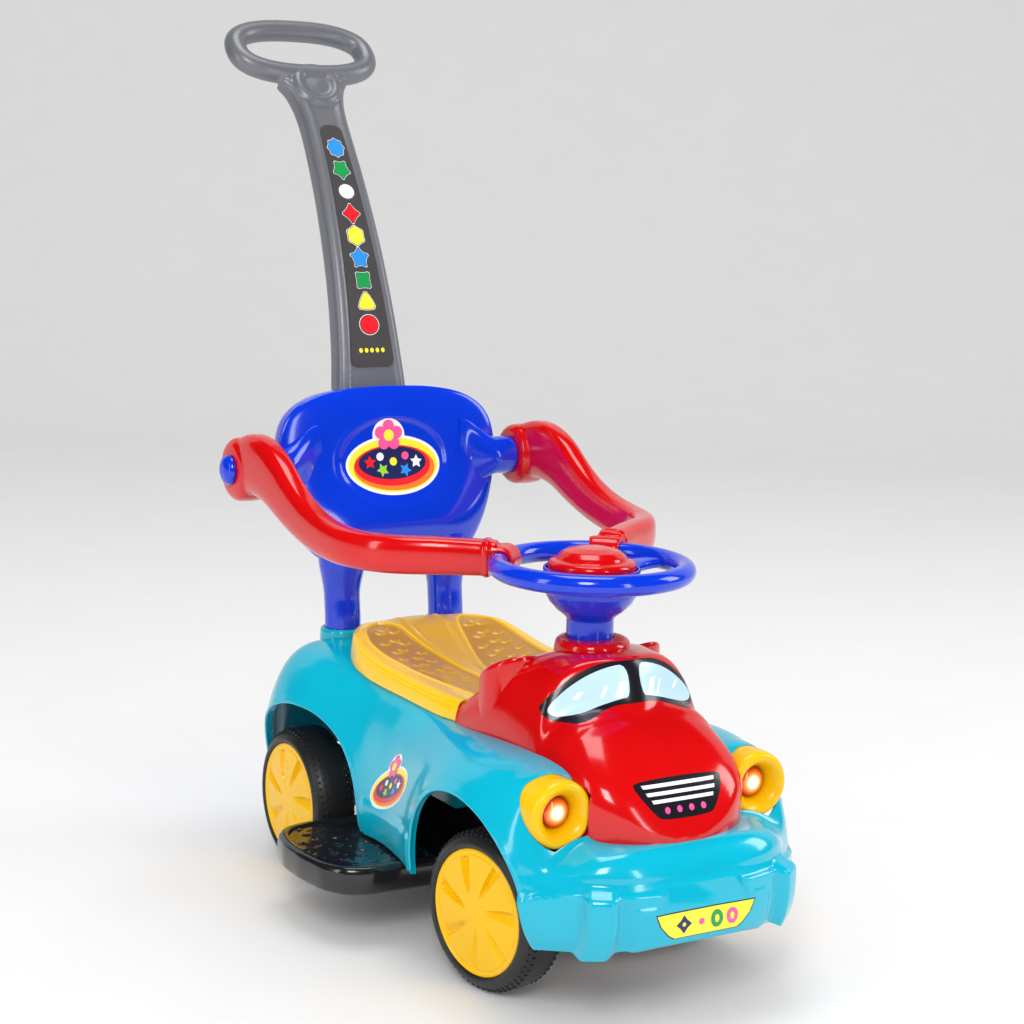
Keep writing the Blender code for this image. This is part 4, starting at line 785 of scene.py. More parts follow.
def build_handle():
    zs = np.linspace(0.385, 0.778, 150)
    rows = handle_rows(0, zs, relief=True)
    handle = mesh_object("push_handle_skin", rows.reshape(-1, 3), tube_faces(len(zs), 96), SILVER, None)
    tilt = math.radians(45)
    a = np.linspace(0, 2 * math.pi, 120, endpoint=False)
    x = 0.0750 * np.sign(np.cos(a)) * np.abs(np.cos(a)) ** 0.80
    h = 0.0335 * np.sign(np.sin(a)) * np.abs(np.sin(a)) ** 0.78
    path = np.stack([x, 0.4350 + h * math.sin(tilt), 0.8050 + h * math.cos(tilt)], 1)
    for _ in range(3):
        path = (np.roll(path, 1, 0) + 2 * path + np.roll(path, -1, 0)) / 4
    modifier_boolean(handle, *sweep(path, 0.0115, 24, closed=True, up=(0, math.cos(tilt), -math.sin(tilt))), operation="UNION")
    axis = (0, -math.cos(math.radians(38)), math.sin(math.radians(38)))
    mid = Vector((0, float(handle_front(0.7700)) + 0.0095, 0.7665))
    prof = rounded_profile([(0, -0.012), (0.0290, -0.012), (0.0280, 0.0085), (0.0240, 0.0128), (0.0190, 0.0132), (0.0165, 0.0112), (0.0150, 0.0098), (0, 0.0108)], 0.0022, 5)
    modifier_boolean(handle, *lathe(prof, mid, axis, 64), operation="UNION")
    finish_mesh(handle, 30)
    rem = handle.modifiers.new("r", "REMESH")
    rem.mode, rem.voxel_size, rem.use_smooth_shade = "VOXEL", 0.00121, True
    sm = handle.modifiers.new("s", "SMOOTH")
    sm.factor, sm.iterations = 0.5, 9
    apply_modifiers(handle)
    finish_mesh(handle, 0)
    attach(handle, "car")
    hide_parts("push_handle")
    # dark panel with round corners
    zs = np.linspace(0.4870, 0.7300, 120)
    rows = []
    for i, z in enumerate(zs):
        w = float(cubic(HANDLE_WIDTH, z)) - 0.0250
        t = min(i, len(zs) - 1 - i) / 4
        w -= 0.014 * (1 - math.sqrt(max(0.0, 1 - (1 - min(1, t)) ** 2)))
        slope = float(handle_slope(z))
        along = np.array([0, slope, 1]) / math.hypot(slope, 1)
        back = np.array([0, along[2], -along[1]])
        o = np.array([0, float(handle_front(z)), z])
        xs = np.linspace(-w / 2, w / 2, 21)
        rows.append(o + xs[:, None] * np.array([1, 0, 0]) + back * 0.0006)
    rows = np.array(rows)
    n, m = rows.shape[:2]
    verts = np.concatenate([rows.reshape(-1, 3), rows.reshape(-1, 3) + np.array([0, 0.0014, 0])])
    faces = grid_faces(n, m) + grid_faces(n, m, offset=n * m)
    return mesh_object("handle_panel_skin", verts, faces, PANEL, "car", ("handle_panel",), smooth=30)


# ------------------------------------------------------------------ guard arms
ARM_PATH = np.array([(0.1590, 0.2142, 0.3975), (0.1600, 0.1850, 0.4050), (0.1600, 0.1500, 0.3985), (0.1595, 0.1200, 0.3830), (0.1590, 0.0850, 0.3680), (0.1580, 0.0450, 0.3580),
                     (0.1560, 0.0100, 0.3545), (0.1500, -0.0180, 0.3540), (0.1380, -0.0400, 0.3540), (0.1180, -0.0570, 0.3545), (0.0930, -0.0740, 0.3550), (0.0690, -0.0920, 0.3550), (0.0590, -0.0995, 0.3550)])
ARM_TALL = np.array([0.0560, 0.0600, 0.0560, 0.0480, 0.0410, 0.0370, 0.0350, 0.0340, 0.0340, 0.0340, 0.0330, 0.0320, 0.0310])
ARM_THICK = np.array([0.0300, 0.0290, 0.0270, 0.0250, 0.0240, 0.0240, 0.0240, 0.0240, 0.0240, 0.0240, 0.0250, 0.0270, 0.0270])


def resample(points, n, passes=6):
    p = np.asarray(points, float)
    d = np.concatenate([[0], np.cumsum(np.linalg.norm(np.diff(p[:, :3], axis=0), axis=1))])
    t = np.linspace(0, d[-1], n)
    out = np.stack([cubic(np.stack([d, p[:, k]], 1), t) for k in range(p.shape[1])], 1)
    for _ in range(passes):
        out[1:-1] = (out[:-2] + 2 * out[1:-1] + out[2:]) / 4
    return out


def build_arm(s, tag):
    data = resample(np.concatenate([ARM_PATH, ARM_TALL[:, None], ARM_THICK[:, None]], 1), 130, 30)
    p, tall, thick = data[:, :3], data[:, 3], data[:, 4]
    t = np.gradient(p, axis=0)
    t /= np.linalg.norm(t, axis=1, keepdims=True)
    across = np.cross(t, np.array([0, 0, 1.0]))
    across /= np.linalg.norm(across, axis=1, keepdims=True)
    up = np.cross(across, t)
    a = np.linspace(0, 2 * math.pi, 48, endpoint=False)
    c, q = np.cos(a), np.sin(a)
    sx, sy = np.sign(c) * np.abs(c) ** 0.62, np.sign(q) * np.abs(q) ** 0.62
    rows = p[:, None] + across[:, None] * (thick[:, None] / 2 * sx)[..., None] + up[:, None] * (tall[:, None] / 2 * sy)[..., None]
    flip = np.array([s, 1, 1])
    arm = mesh_object("guard_arm_skin_" + tag, (rows * flip).reshape(-1, 3), tube_faces(len(rows), 48), RED, None)
    drum = rounded_profile([(0, 0.1396), (0.0270, 0.1396), (0.0310, 0.1440), (0.0318, 0.1570), (0.0310, 0.1700), (0.0265, 0.1748), (0.0185, 0.1760), (0, 0.1760)], 0.003, 6)
    v, f = lathe(drum, (0, 0.2142, 0.3955), (1, 0, 0), 72)
    modifier_boolean(arm, np.array(v) * flip, f, operation="UNION")
    # raised band at the end of the arm, then a collar that wraps over the ring
    for k in (int(np.argmin(np.abs(np.hypot(p[:, 0], p[:, 1] - COL) - 0.0935))),):
        o, tt = p[k], t[k]
        ac = across[k]
        rows = [o + tt * g + ac[None] * ((thick[k] / 2 + e) * sx)[:, None] + up[k][None] * ((tall[k] / 2 + e) * sy)[:, None] for g, e in ((-0.0022, -0.002), (-0.0020, 0.0016), (0.0020, 0.0016), (0.0022, -0.002))]
        modifier_boolean(arm, (np.array(rows) * flip).reshape(-1, 3), tube_faces(4, 48), operation="UNION")
    phi = np.radians(np.linspace(38, 59, 24))
    arc = np.stack([0.0815 * np.cos(phi), COL + 0.0815 * np.sin(phi), np.full(24, 0.3530)], 1)
    v, f = sweep(arc, 0.0140 - 0.0012 * np.abs(np.linspace(-1, 1, 24)) ** 6, 28)
    modifier_boolean(arm, v * flip, f, operation="UNION")
    ring = np.linspace(0, 2 * math.pi, 96, endpoint=False)
    path = np.stack([0.0815 * np.cos(ring), COL + 0.0815 * np.sin(ring), np.full(96, 0.3530)], 1)
    rem = arm.modifiers.new("r", "REMESH")
    rem.mode, rem.voxel_size, rem.use_smooth_shade = "VOXEL", 0.0012, True
    sm = arm.modifiers.new("s", "SMOOTH")
    sm.factor, sm.iterations = 0.5, 10
    apply_modifiers(arm)
    modifier_boolean(arm, *sweep(path, 0.0098, 28, closed=True))
    band = [(0.0725, 0.325), (0.0905, 0.325), (0.0905, 0.3530), (0.0725, 0.3530)]
    modifier_boolean(arm, *lathe(band, (0, COL, 0), (0, 0, 1), 96))
    finish_mesh(arm, 40)
    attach(arm, "arm_" + tag)
    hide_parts("guard_arm_" + tag)


# ------------------------------------------------------------------ steering wheel and horn
def turned(verts):
    c, s = math.cos(STEER), math.sin(STEER)
    v = np.asarray(verts, float)
    x, y = v[:, 0], v[:, 1] - COL
    return np.stack([x * c - y * s, COL + x * s + y * c, v[:, 2]], 1)


def build_steering():
    a = np.linspace(0, 2 * math.pi, 144, endpoint=False)
    path = np.stack([0.0815 * np.cos(a), COL + 0.0815 * np.sin(a), np.full(144, 0.3530)], 1)
    parts = [sweep(path, 0.0092, 28, closed=True)]
    prof = [(0.0044, 0.2800), (0.0208, 0.2800), (0.0208, 0.3085), (0.0235, 0.3115), (0.0300, 0.3165), (0.0365, 0.3235), (0.0405, 0.3310), (0.0422, 0.3390), (0.0428, 0.3520), (0.0420, 0.3538), (0.0402, 0.3538), (0.0398, 0.3460), (0.009, 0.3460)]
    parts.append(lathe(rounded_profile(prof, 0.0012, 3), (0, COL, 0), (0, 0, 1), 96))
    for ang in (0, 180, 270):
        t = math.radians(ang)
        o, c = np.array([math.cos(t), math.sin(t), 0]), np.array([-math.sin(t), math.cos(t), 0])
        rr = np.linspace(0.0400, 0.0785, 20)
        b = np.linspace(0, 2 * math.pi, 32, endpoint=False)
        rows = []
        for r in rr:
            k = (r - 0.040) / 0.0385
            half = 0.0165 - 0.0050 * math.sin(math.pi * k)
            rows.append(np.array([0, COL, 0.3490 + 0.0025 * k]) + r * o + np.outer(half * np.sign(np.cos(b)) * np.abs(np.cos(b)) ** 0.6, c) + np.outer(0.0048 * np.sign(np.sin(b)) * np.abs(np.sin(b)) ** 0.6, [0, 0, 1]))
        rows = np.array(rows)
        parts.append((rows.reshape(-1, 3), tube_faces(20, 32)))
    verts, faces = merge(parts)
    mesh_object("steering_wheel_skin", turned(verts), faces, BLUE, "steering", ("steering_wheel",), smooth=40)
    prof = rounded_profile([(0.0362, 0.3500), (0.0388, 0.3500), (0.0388, 0.3572), (0.0368, 0.3598), (0.0312, 0.3612), (0.0294, 0.3645), (0.0240, 0.3684), (0.0138, 0.3709), (0, 0.3716)], 0.0014, 5)
    v, f = lathe(prof, (0, COL, 0), (0, 0, 1), 96)
    mesh_object("horn_button_skin", v, f, RED, "horn", ("horn_button",), smooth=55)


# ------------------------------------------------------------------ wheels
def wheel_parts():
    """Disc with swirling blades and a tyre with shoulder nubs, facing +X, centred on the axle."""
    nr, na = 60, 252
    r = np.linspace(0.0006, 0.0530, nr)
    a = np.linspace(0, 2 * math.pi, na, endpoint=False)
    rr, aa = np.meshgrid(r, a, indexing="ij")
    swirl = aa - 0.20 * (rr / 0.053)
    ph = (swirl * 7 / (2 * math.pi)) % 1.0
    groove = sstep(0.0, 0.035, ph) * (1 - sstep(0.05, 0.34, ph))
    env = sstep(0.010, 0.030, rr) * (1 - sstep(0.0475, 0.0500, rr))
    x = 0.1302 + 0.0022 * (1 - (rr / 0.053) ** 2) - env * 0.0040 * groove
    x -= 0.0006 * np.exp(-((rr - 0.0505) / 0.0008) ** 2)
    disc = np.stack([x, rr * np.cos(aa), rr * np.sin(aa)], 2)
    rim = []
    for rad, xx in ((0.0542, 0.1310), (0.0550, 0.1304), (0.0552, 0.1294), (0.0552, 0.0900), (0.0522, 0.0900), (0.0522, 0.1250), (0.0110, 0.1250), (0.0110, 0.0900), (0.0045, 0.0900), (0.0045, 0.1240)):
        rim.append(np.stack([np.full(na, xx), rad * np.cos(a), rad * np.sin(a)], 1))
    rows = np.concatenate([disc, np.array(rim)])
    verts = rows.reshape(-1, 3)
    faces = grid_faces(len(rows), na, wrap_v=True) + [tuple(range(na)), tuple((len(rows) - 1) * na + j for j in range(na))]
    disc_mesh = (verts, faces)
    prof = rounded_profile([(0.0555, 0.0900), (0.0610, 0.0885), (0.0665, 0.0915), (0.0692, 0.0985), (0.0700, 0.1085), (0.0696, 0.1165), (0.0680, 0.1235), (0.0645, 0.1295), (0.0600, 0.1322), (0.0570, 0.1322), (0.0555, 0.1305)], 0.003, 4)
    a = np.linspace(0, 2 * math.pi, 180, endpoint=False)
    rows = np.array([np.stack([np.full(180, h), q * np.cos(a), q * np.sin(a)], 1) for q, h in prof])
    parts = [(rows.reshape(-1, 3), grid_faces(len(rows), 180, wrap_u=True, wrap_v=True))]
    # rows of small nubs along the shoulders
    for count, hx, hr, tilt, shift in ((64, 0.1262, 0.0667, 0.70, 0.0), (64, 0.1215, 0.0688, 0.40, 0.5), (64, 0.0925, 0.0668, -0.70, 0.0), (64, 0.0968, 0.0686, -0.35, 0.5)):
        for k in range(count):
            ang = 2 * math.pi * (k + shift) / count
            ci, si = math.cos(ang), math.sin(ang)
            out = np.array([math.sin(tilt), math.cos(tilt) * ci, math.cos(tilt) * si])
            tan = np.array([0, -si, ci])
            ax = np.cross(out, tan)
            o = np.array([hx, hr * ci, hr * si])
            pts = []
            for h, k2 in ((-0.0015, 1.0), (0.0004, 1.0), (0.0010, 0.55)):
                for u, w in ((-1, -1), (1, -1), (1, 1), (-1, 1)):
                    pts.append(o + ax * 0.0013 * w * k2 + tan * 0.0010 * u * k2 + out * h)
            parts.append((pts, tube_faces(3, 4)))
    return disc_mesh, merge(parts)


def build_wheels():
    disc, tyre = wheel_parts()
    for end, y in (("front", AXF), ("rear", 0.171)):
        for s, tag in ((1, "left"), (-1, "right")):
            for part, (v, f), mat, slot in (("wheel_disc", disc, YELLOW, "yellow_plastic"), ("tyre", tyre, RUBBER, "tyre_rubber")):
                v = np.asarray(v, float) * np.array([s, 1, 1]) + np.array([0, y, 0.07])
                if end == "front":
                    v = turned(v)
                mesh_object("%s_skin_%s_%s" % (part, end, tag), v, f, mat, "wheel_%s_%s" % (end, tag), ("%s_%s_%s" % (part, end, tag),), smooth=32)


# ------------------------------------------------------------------ headlights
def lamp_material():
    mat = plastic("lamp_lens", (0.95, 0.20, 0.04), 0.08, coat=0.6)
    nodes, links = mat.node_tree.nodes, mat.node_tree.links
    bsdf = nodes["Principled BSDF"]
    att = nodes.new("ShaderNodeAttribute")
    att.attribute_name = "glow"
    ramp = nodes.new("ShaderNodeValToRGB")
    e = ramp.color_ramp.elements
    e[0].position, e[0].color = 0.0, (0.16, 0.012, 0.002, 1)
    e[1].position, e[1].color = 1.0, (1.0, 0.97, 0.90, 1)
    for spot, colour in ((0.14, (0.30, 0.020, 0.003, 1)), (0.30, (0.80, 0.090, 0.012, 1)), (0.46, (0.98, 0.30, 0.06, 1)), (0.66, (1.0, 0.78, 0.52, 1))):
        mid = ramp.color_ramp.elements.new(spot)
        mid.color = colour
    links.new(att.outputs["Fac"], ramp.inputs["Fac"])
    links.new(ramp.outputs["Color"], bsdf.inputs["Base Color"])
    links.new(ramp.outputs["Color"], bsdf.inputs["Emission Color"])
    bsdf.inputs["Emission Strength"].default_value = 0.55
    return mat


def build_lamps():
    lens = lamp_material()
    for s, tag in ((1, "left"), (-1, "right")):
        prof = rounded_profile([(0.0120, LAMP + 0.042), (0.0290, LAMP + 0.042), (0.0292, LAMP + 0.0090), (0.0288, LAMP + 0.0045), (0.0272, LAMP + 0.0012), (0.0245, LAMP - 0.0004), (0.0218, LAMP + 0.0004),
                                (0.0188, LAMP + 0.0030), (0.0162, LAMP + 0.0070), (0.0146, LAMP + 0.0115), (0.0139, LAMP + 0.0165), (0.0120, LAMP + 0.0165)], 0.0014, 4)
        v, f = lathe(prof, (s * 0.0998, 0, 0.1768), (0, 1, 0), 80)
        mesh_object("headlight_bezel_skin_" + tag, v, f, YELLOW, "car", ("headlight_bezel_" + tag,), smooth=50)
        prof = [(0, LAMP + 0.034), (0.0116, LAMP + 0.034), (0.0116, LAMP + 0.0160), (0.0137, LAMP + 0.0155)] + [(0.0137 * math.cos(t), LAMP + 0.0153 - 0.0060 * math.sin(t)) for t in np.linspace(0.1, math.pi / 2 - 0.02, 20)] + [(0, LAMP + 0.0093)]
        v, f = lathe(prof, (s * 0.0998, 0, 0.1768), (0, 1, 0), 64)
        obj = mesh_object("headlight_lens_skin_" + tag, v, f, lens, "car", ("headlight_lens_" + tag,), smooth=60)
        co = np.array([q.co for q in obj.data.vertices])
        rad = np.hypot(co[:, 0] - s * 0.0998, co[:, 2] - 0.1768)
        att = obj.data.attributes.new("glow", "FLOAT", "POINT")
        att.data.foreach_set("value", np.clip(1 - rad / 0.0140, 0, 1).astype(np.float32))


# ------------------------------------------------------------------ printed stickers
INK = {name: plastic("ink_" + name, colour, 0.24, vary=0.03, grain=0.01, coat=0.2) for name, colour in (
    ("black", (0.010, 0.010, 0.014)), ("white", (0.86, 0.87, 0.88)), ("pane", (0.50, 0.72, 0.90)), ("pink", (0.85, 0.09, 0.33)), ("red", (0.80, 0.01, 0.02)), ("orange", (0.90, 0.20, 0.02)),
    ("yellow", (0.93, 0.80, 0.04)), ("green", (0.01, 0.30, 0.07)), ("blue", (0.02, 0.26, 0.80)), ("navy", (0.012, 0.018, 0.10)), ("lime", (0.30, 0.62, 0.05)), ("grey", (0.16, 0.16, 0.17)))}
PATCHES = 0


def tree_of(obj):
    graph = bpy.context.evaluated_depsgraph_get()
    mesh = obj.evaluated_get(graph).to_mesh()
    tree = BVHTree.FromPolygons([v.co.copy() for v in mesh.vertices], [tuple(q.vertices) for q in mesh.polygons])
    obj.evaluated_get(graph).to_mesh_clear()
    return tree


def inside(points, loop):
    a, b = loop, np.roll(loop, -1, 0)
    hit = np.zeros(len(points), bool)
    for (ax, ay), (bx, by) in zip(a, b):
        cross = ((ay > points[:, 1]) != (by > points[:, 1]))
        with np.errstate(divide="ignore", invalid="ignore"):
            at = (bx - ax) * (points[:, 1] - ay) / (by - ay) + ax
        hit ^= cross & (points[:, 0] < at)
    return hit


def sticker(name, outlines, tree, ray, lift, ink, step=0.0014):
    """A printed shape laid on the surface. ray(u, v) gives the start and the direction along which it is projected."""
    verts, faces = [], []
    for outline in outlines:
        outline = np.asarray(outline, float)
        loop = []
        for p, q in zip(outline, np.roll(outline, -1, 0)):
            k = max(1, int(np.linalg.norm(q - p) / step))
            loop += [p + (q - p) * j / k for j in range(k)]
        loop = np.array(loop)
        lo, hi = loop.min(0), loop.max(0)
        gu, gv = np.meshgrid(np.arange(lo[0] + step, hi[0], step), np.arange(lo[1] + step, hi[1], step))
        grid = np.stack([gu.ravel(), gv.ravel()], 1)
        if len(grid):
            grid = grid[inside(grid, loop)]
        if len(grid):
            gap = np.min(np.linalg.norm(grid[:, None] - loop[None], axis=2), 1)
            grid = grid[gap > step * 0.45]
        pts = [Vector(q) for q in loop] + [Vector(q) for q in grid]
        co, _, tri, _, _, _ = delaunay_2d_cdt(pts, [], [list(range(len(loop)))], 1, 1e-7)
        base = len(verts)
        ok = []
        for q in co:
            start, way = ray(q[0], q[1])
            spot, normal, _, _ = tree.ray_cast(Vector(start), Vector(way))
            ok.append(spot is not None)
            if spot is None:
                verts.append((0, 0, 0))
                continue
            if normal.dot(Vector(way)) > 0:
                normal = -normal
            verts.append(spot + normal * lift)
        faces += [tuple(base + i for i in t) for t in tri if all(ok[i] for i in t)]
    used = sorted({i for t in faces for i in t})
    index = {old: new for new, old in enumerate(used)}
    global PATCHES
    PATCHES += 1
    moved = [(verts[i][0], verts[i][1] - YS, verts[i][2]) for i in used]
    return mesh_object("sticker_" + name, moved, [tuple(index[i] for i in t) for t in faces], INK[ink], "car", smooth=60)


def ellipse(cu, cv, ru, rv, turn=0.0, n=48):
    t = np.linspace(0, 2 * math.pi, n, endpoint=False)
    u, v = ru * np.cos(t), rv * np.sin(t)
    return np.stack([cu + u * math.cos(turn) - v * math.sin(turn), cv + u * math.sin(turn) + v * math.cos(turn)], 1)


def star(cu, cv, r, points=5, deep=0.45, turn=0.0):
    t = np.arange(2 * points) * math.pi / points + math.pi / 2 + turn
    rr = np.where(np.arange(2 * points) % 2 == 0, r, r * deep)
    return np.stack([cu + rr * np.cos(t), cv + rr * np.sin(t)], 1)


def smooth_loop(points, passes=2):
    p = np.asarray(points, float)
    for _ in range(passes):
        q = np.roll(p, -1, 0)
        p = np.stack([p * 0.75 + q * 0.25, p * 0.25 + q * 0.75], 1).reshape(-1, 2)
    return p


def mirror_loop(points):
    p = np.asarray(points, float)
    return np.concatenate([p, (p * np.array([-1, 1]))[::-1]])


def badge(tag, tree, place, size):
    """Round generic badge: bands of warm colours round a dark middle with stars, and a flower on top."""
    def put(name, loops, lift, ink):
        sticker(tag + "_" + name, [np.asarray(l) * size for l in loops], tree, place, lift, ink)

    flower = [ellipse(-0.004 + 0.0098 * math.cos(t), 0.0300 + 0.0098 * math.sin(t), 0.0064, 0.0064, 0, 28) for t in np.arange(5) * 2 * math.pi / 5 + 0.3]
    put("edge", [ellipse(0, 0, 0.0545, 0.0300)], 0.00010, "white")
    put("edge_top", [ellipse(-0.004, 0.0300, 0.0185, 0.0175)], 0.00013, "white")
    put("yellow", [ellipse(0, 0, 0.0515, 0.0270)], 0.00020, "yellow")
    put("orange", [ellipse(0.001, -0.0030, 0.0470, 0.0225)], 0.00030, "orange")
    put("red", [ellipse(-0.001, -0.0005, 0.0440, 0.0205)], 0.00040, "red")
    put("navy", [ellipse(-0.001, 0.0020, 0.0390, 0.0165)], 0.00050, "navy")
    put("petals", flower, 0.00060, "pink")
    put("heart_of_flower", [ellipse(-0.004, 0.0300, 0.0058, 0.0058)], 0.00072, "yellow")
    spots = [(-0.0270, 0.0030, "red"), (-0.0150, 0.0085, "white"), (-0.0130, -0.0050, "lime"), (0.0000, 0.0030, "yellow"), (0.0130, -0.0060, "blue"), (0.0140, 0.0085, "pink"), (0.0265, 0.0020, "white")]
    for k, (u, v, ink) in enumerate(spots):
        put("spot_%d" % k, [star(u, v, 0.0072, 5, 0.5, 0.2 * k) if k % 2 == 0 else ellipse(u, v, 0.0042, 0.0042)], 0.00062, ink)


def build_stickers(hood, body, shield, panel):
    deep = (0, 1, 0)

    def ahead(u, v):
        return (u, -1.0, v), deep

    tree = tree_of(hood)
    frame_loop = mirror_loop([(0, 0.2865), (0.020, 0.2845), (0.040, 0.278), (0.056, 0.2685), (0.068, 0.2585), (0.0755, 0.2490), (0.0775, 0.2430), (0.0745, 0.2380), (0.066, 0.2365), (0.050, 0.2405), (0.030, 0.247), (0.015, 0.2508), (0, 0.252)][1:-1])
    sticker("screen_frame", [smooth_loop(frame_loop)], tree, ahead, 0.00015, "black")
    pane = smooth_loop([(0.0055, 0.2820), (0.020, 0.2805), (0.038, 0.2740), (0.054, 0.2645), (0.066, 0.2545), (0.0730, 0.2465), (0.0725, 0.2420), (0.066, 0.2402), (0.050, 0.2440), (0.030, 0.2505), (0.015, 0.2545), (0.0060, 0.2560)])
    sticker("screen_panes", [pane, (pane * np.array([-1, 1]))[::-1]], tree, ahead, 0.00028, "pane")
    glints = []
    for s in (1, -1):
        for u0, wide in ((0.016, 0.007), (0.028, 0.003), (0.050, 0.005)):
            glints.append([(s * u0 - 0.004, 0.2560 - 0.0003 * u0 / 0.001 * 0.12), (s * u0 - 0.004 + wide, 0.2560 - 0.0003 * u0 / 0.001 * 0.12), (s * u0 + 0.002 + wide, 0.2720 - 0.012 * u0 / 0.05), (s * u0 + 0.002, 0.2720 - 0.012 * u0 / 0.05)])
    sticker("screen_glints", glints, tree, ahead, 0.00040, "white")
    grille = smooth_loop([(-0.042, 0.2020), (0.042, 0.2020), (0.0445, 0.1960), (0.0300, 0.1760), (0.0230, 0.1720), (-0.0230, 0.1720), (-0.0300, 0.1760), (-0.0445, 0.1960)])
    sticker("grille", [grille], tree, ahead, 0.00015, "black")
    sticker("grille_bars", [[(-w, z), (w, z), (w - 0.001, z - 0.0026), (-w + 0.001, z - 0.0026)] for w, z in ((0.0365, 0.1985), (0.0345, 0.1930), (0.0310, 0.1875))], tree, ahead, 0.00028, "white")
    sticker("grille_dots", [ellipse(u, 0.1790, 0.0026, 0.0026, 0, 24) for u in (-0.018, -0.006, 0.006, 0.018)], tree, ahead, 0.00028, "pink")
    tree = tree_of(body)
    plate = np.array([(-0.050, 0.1050), (0.050, 0.1050), (0.0455, 0.0945), (0.0380, 0.0860), (0.0320, 0.0822), (-0.0320, 0.0822), (-0.0380, 0.0860), (-0.0455, 0.0945)])
    mid = plate.mean(0)
    sticker("plate_edge", [plate], tree, ahead, 0.00015, "black")
    sticker("plate", [mid + (plate - mid) * np.array([0.972, 0.92])], tree, ahead, 0.00025, "yellow")
    sticker("plate_blue", [star(-0.022, 0.0935, 0.0078, 4, 0.62)], tree, ahead, 0.00036, "navy")
    sticker("plate_pink", [ellipse(-0.0045, 0.0935, 0.0028, 0.0028), ellipse(0.0265, 0.0935, 0.0058, 0.0068)], tree, ahead, 0.00036, "pink")
    sticker("plate_green", [ellipse(0.0110, 0.0935, 0.0062, 0.0074)], tree, ahead, 0.00036, "green")
    sticker("plate_holes", [ellipse(0.0110, 0.0935, 0.0022, 0.0034, 0, 24), ellipse(0.0265, 0.0935, 0.0020, 0.0030, 0, 24), ellipse(-0.022, 0.0935, 0.0018, 0.0018, 0, 20)], tree, ahead, 0.00048, "yellow")

    def side_ray(s):
        def ray(u, v):
            c, q = math.cos(math.radians(20)), math.sin(math.radians(20))
            return (s * 1.0, -0.0185 + YS - u * c - v * q * 0.9, 0.1310 + u * q * 1.0 + v * c), (-s, 0, 0)
        return ray

    for s, tag in ((1, "left"), (-1, "right")):
        badge("side_" + tag, tree, side_ray(s), 0.78)
    badge("shield", tree_of(shield), lambda u, v: ((u, -1.0, 0.3925 + v), deep), 0.98)
    tree = tree_of(panel)
    rainbow = ["red", "yellow", "green", "blue", "yellow", "red", "white", "green", "blue"]
    for k, ink in enumerate(rainbow):
        z = 0.5290 + 0.0222 * k
        r = 0.0100 - 0.00018 * k
        shape = (ellipse(0, z, r, r * 0.92, 0, 40), star(0, z, r * 1.18, 3, 0.62), star(0, z, r * 1.15, 4, 0.60, math.pi / 4), star(0, z, r * 1.20, 5, 0.55),
                 star(0, z, r * 1.1, 6, 0.80), star(0, z, r * 1.18, 4, 0.55), ellipse(0, z, r * 0.95, r * 0.80, 0, 40), star(0, z, r * 1.18, 5, 0.62, math.pi), star(0, z, r * 1.1, 8, 0.78))[k]
        shape = smooth_loop(shape, 1)
        centre = np.array([0, z])
        sticker("panel_edge_%d" % k, [centre + (shape - centre) * 1.14], tree, ahead, 0.00015, "grey" if ink == "white" else "white")
        sticker("panel_dark_%d" % k, [centre + (shape - centre) * 1.07], tree, ahead, 0.00025, "black")
        sticker("panel_shape_%d" % k, [shape], tree, ahead, 0.00035, ink)
    sticker("panel_dots", [ellipse(u, 0.5035, 0.0021, 0.0024, 0, 20) for u in (-0.0125, -0.0062, 0.0, 0.0062, 0.0125)], tree, ahead, 0.00025, "yellow")


# ------------------------------------------------------------------ footrests and chassis
def foot_outline(n=160):
    pts = np.array([(0.0850, -0.0600), (0.1300, -0.0600), (0.1600, -0.0580), (0.1800, -0.0480), (0.1915, -0.0280), (0.1965, 0.0100), (0.1960, 0.0450), (0.1890, 0.0740), (0.1740, 0.0905),
                    (0.1500, 0.0960), (0.1200, 0.0960), (0.0850, 0.0935)])
    p = np.concatenate([pts, pts[:1]])
    d = np.concatenate([[0], np.cumsum(np.hypot(*np.diff(p, axis=0).T))])
    t = np.linspace(0, d[-1], n, endpoint=False)
    out = np.stack([np.interp(t, d, p[:, 0]), np.interp(t, d, p[:, 1])], 1)
    for _ in range(6):
        out = (np.roll(out, 1, 0) + 2 * out + np.roll(out, -1, 0)) / 4
    return out


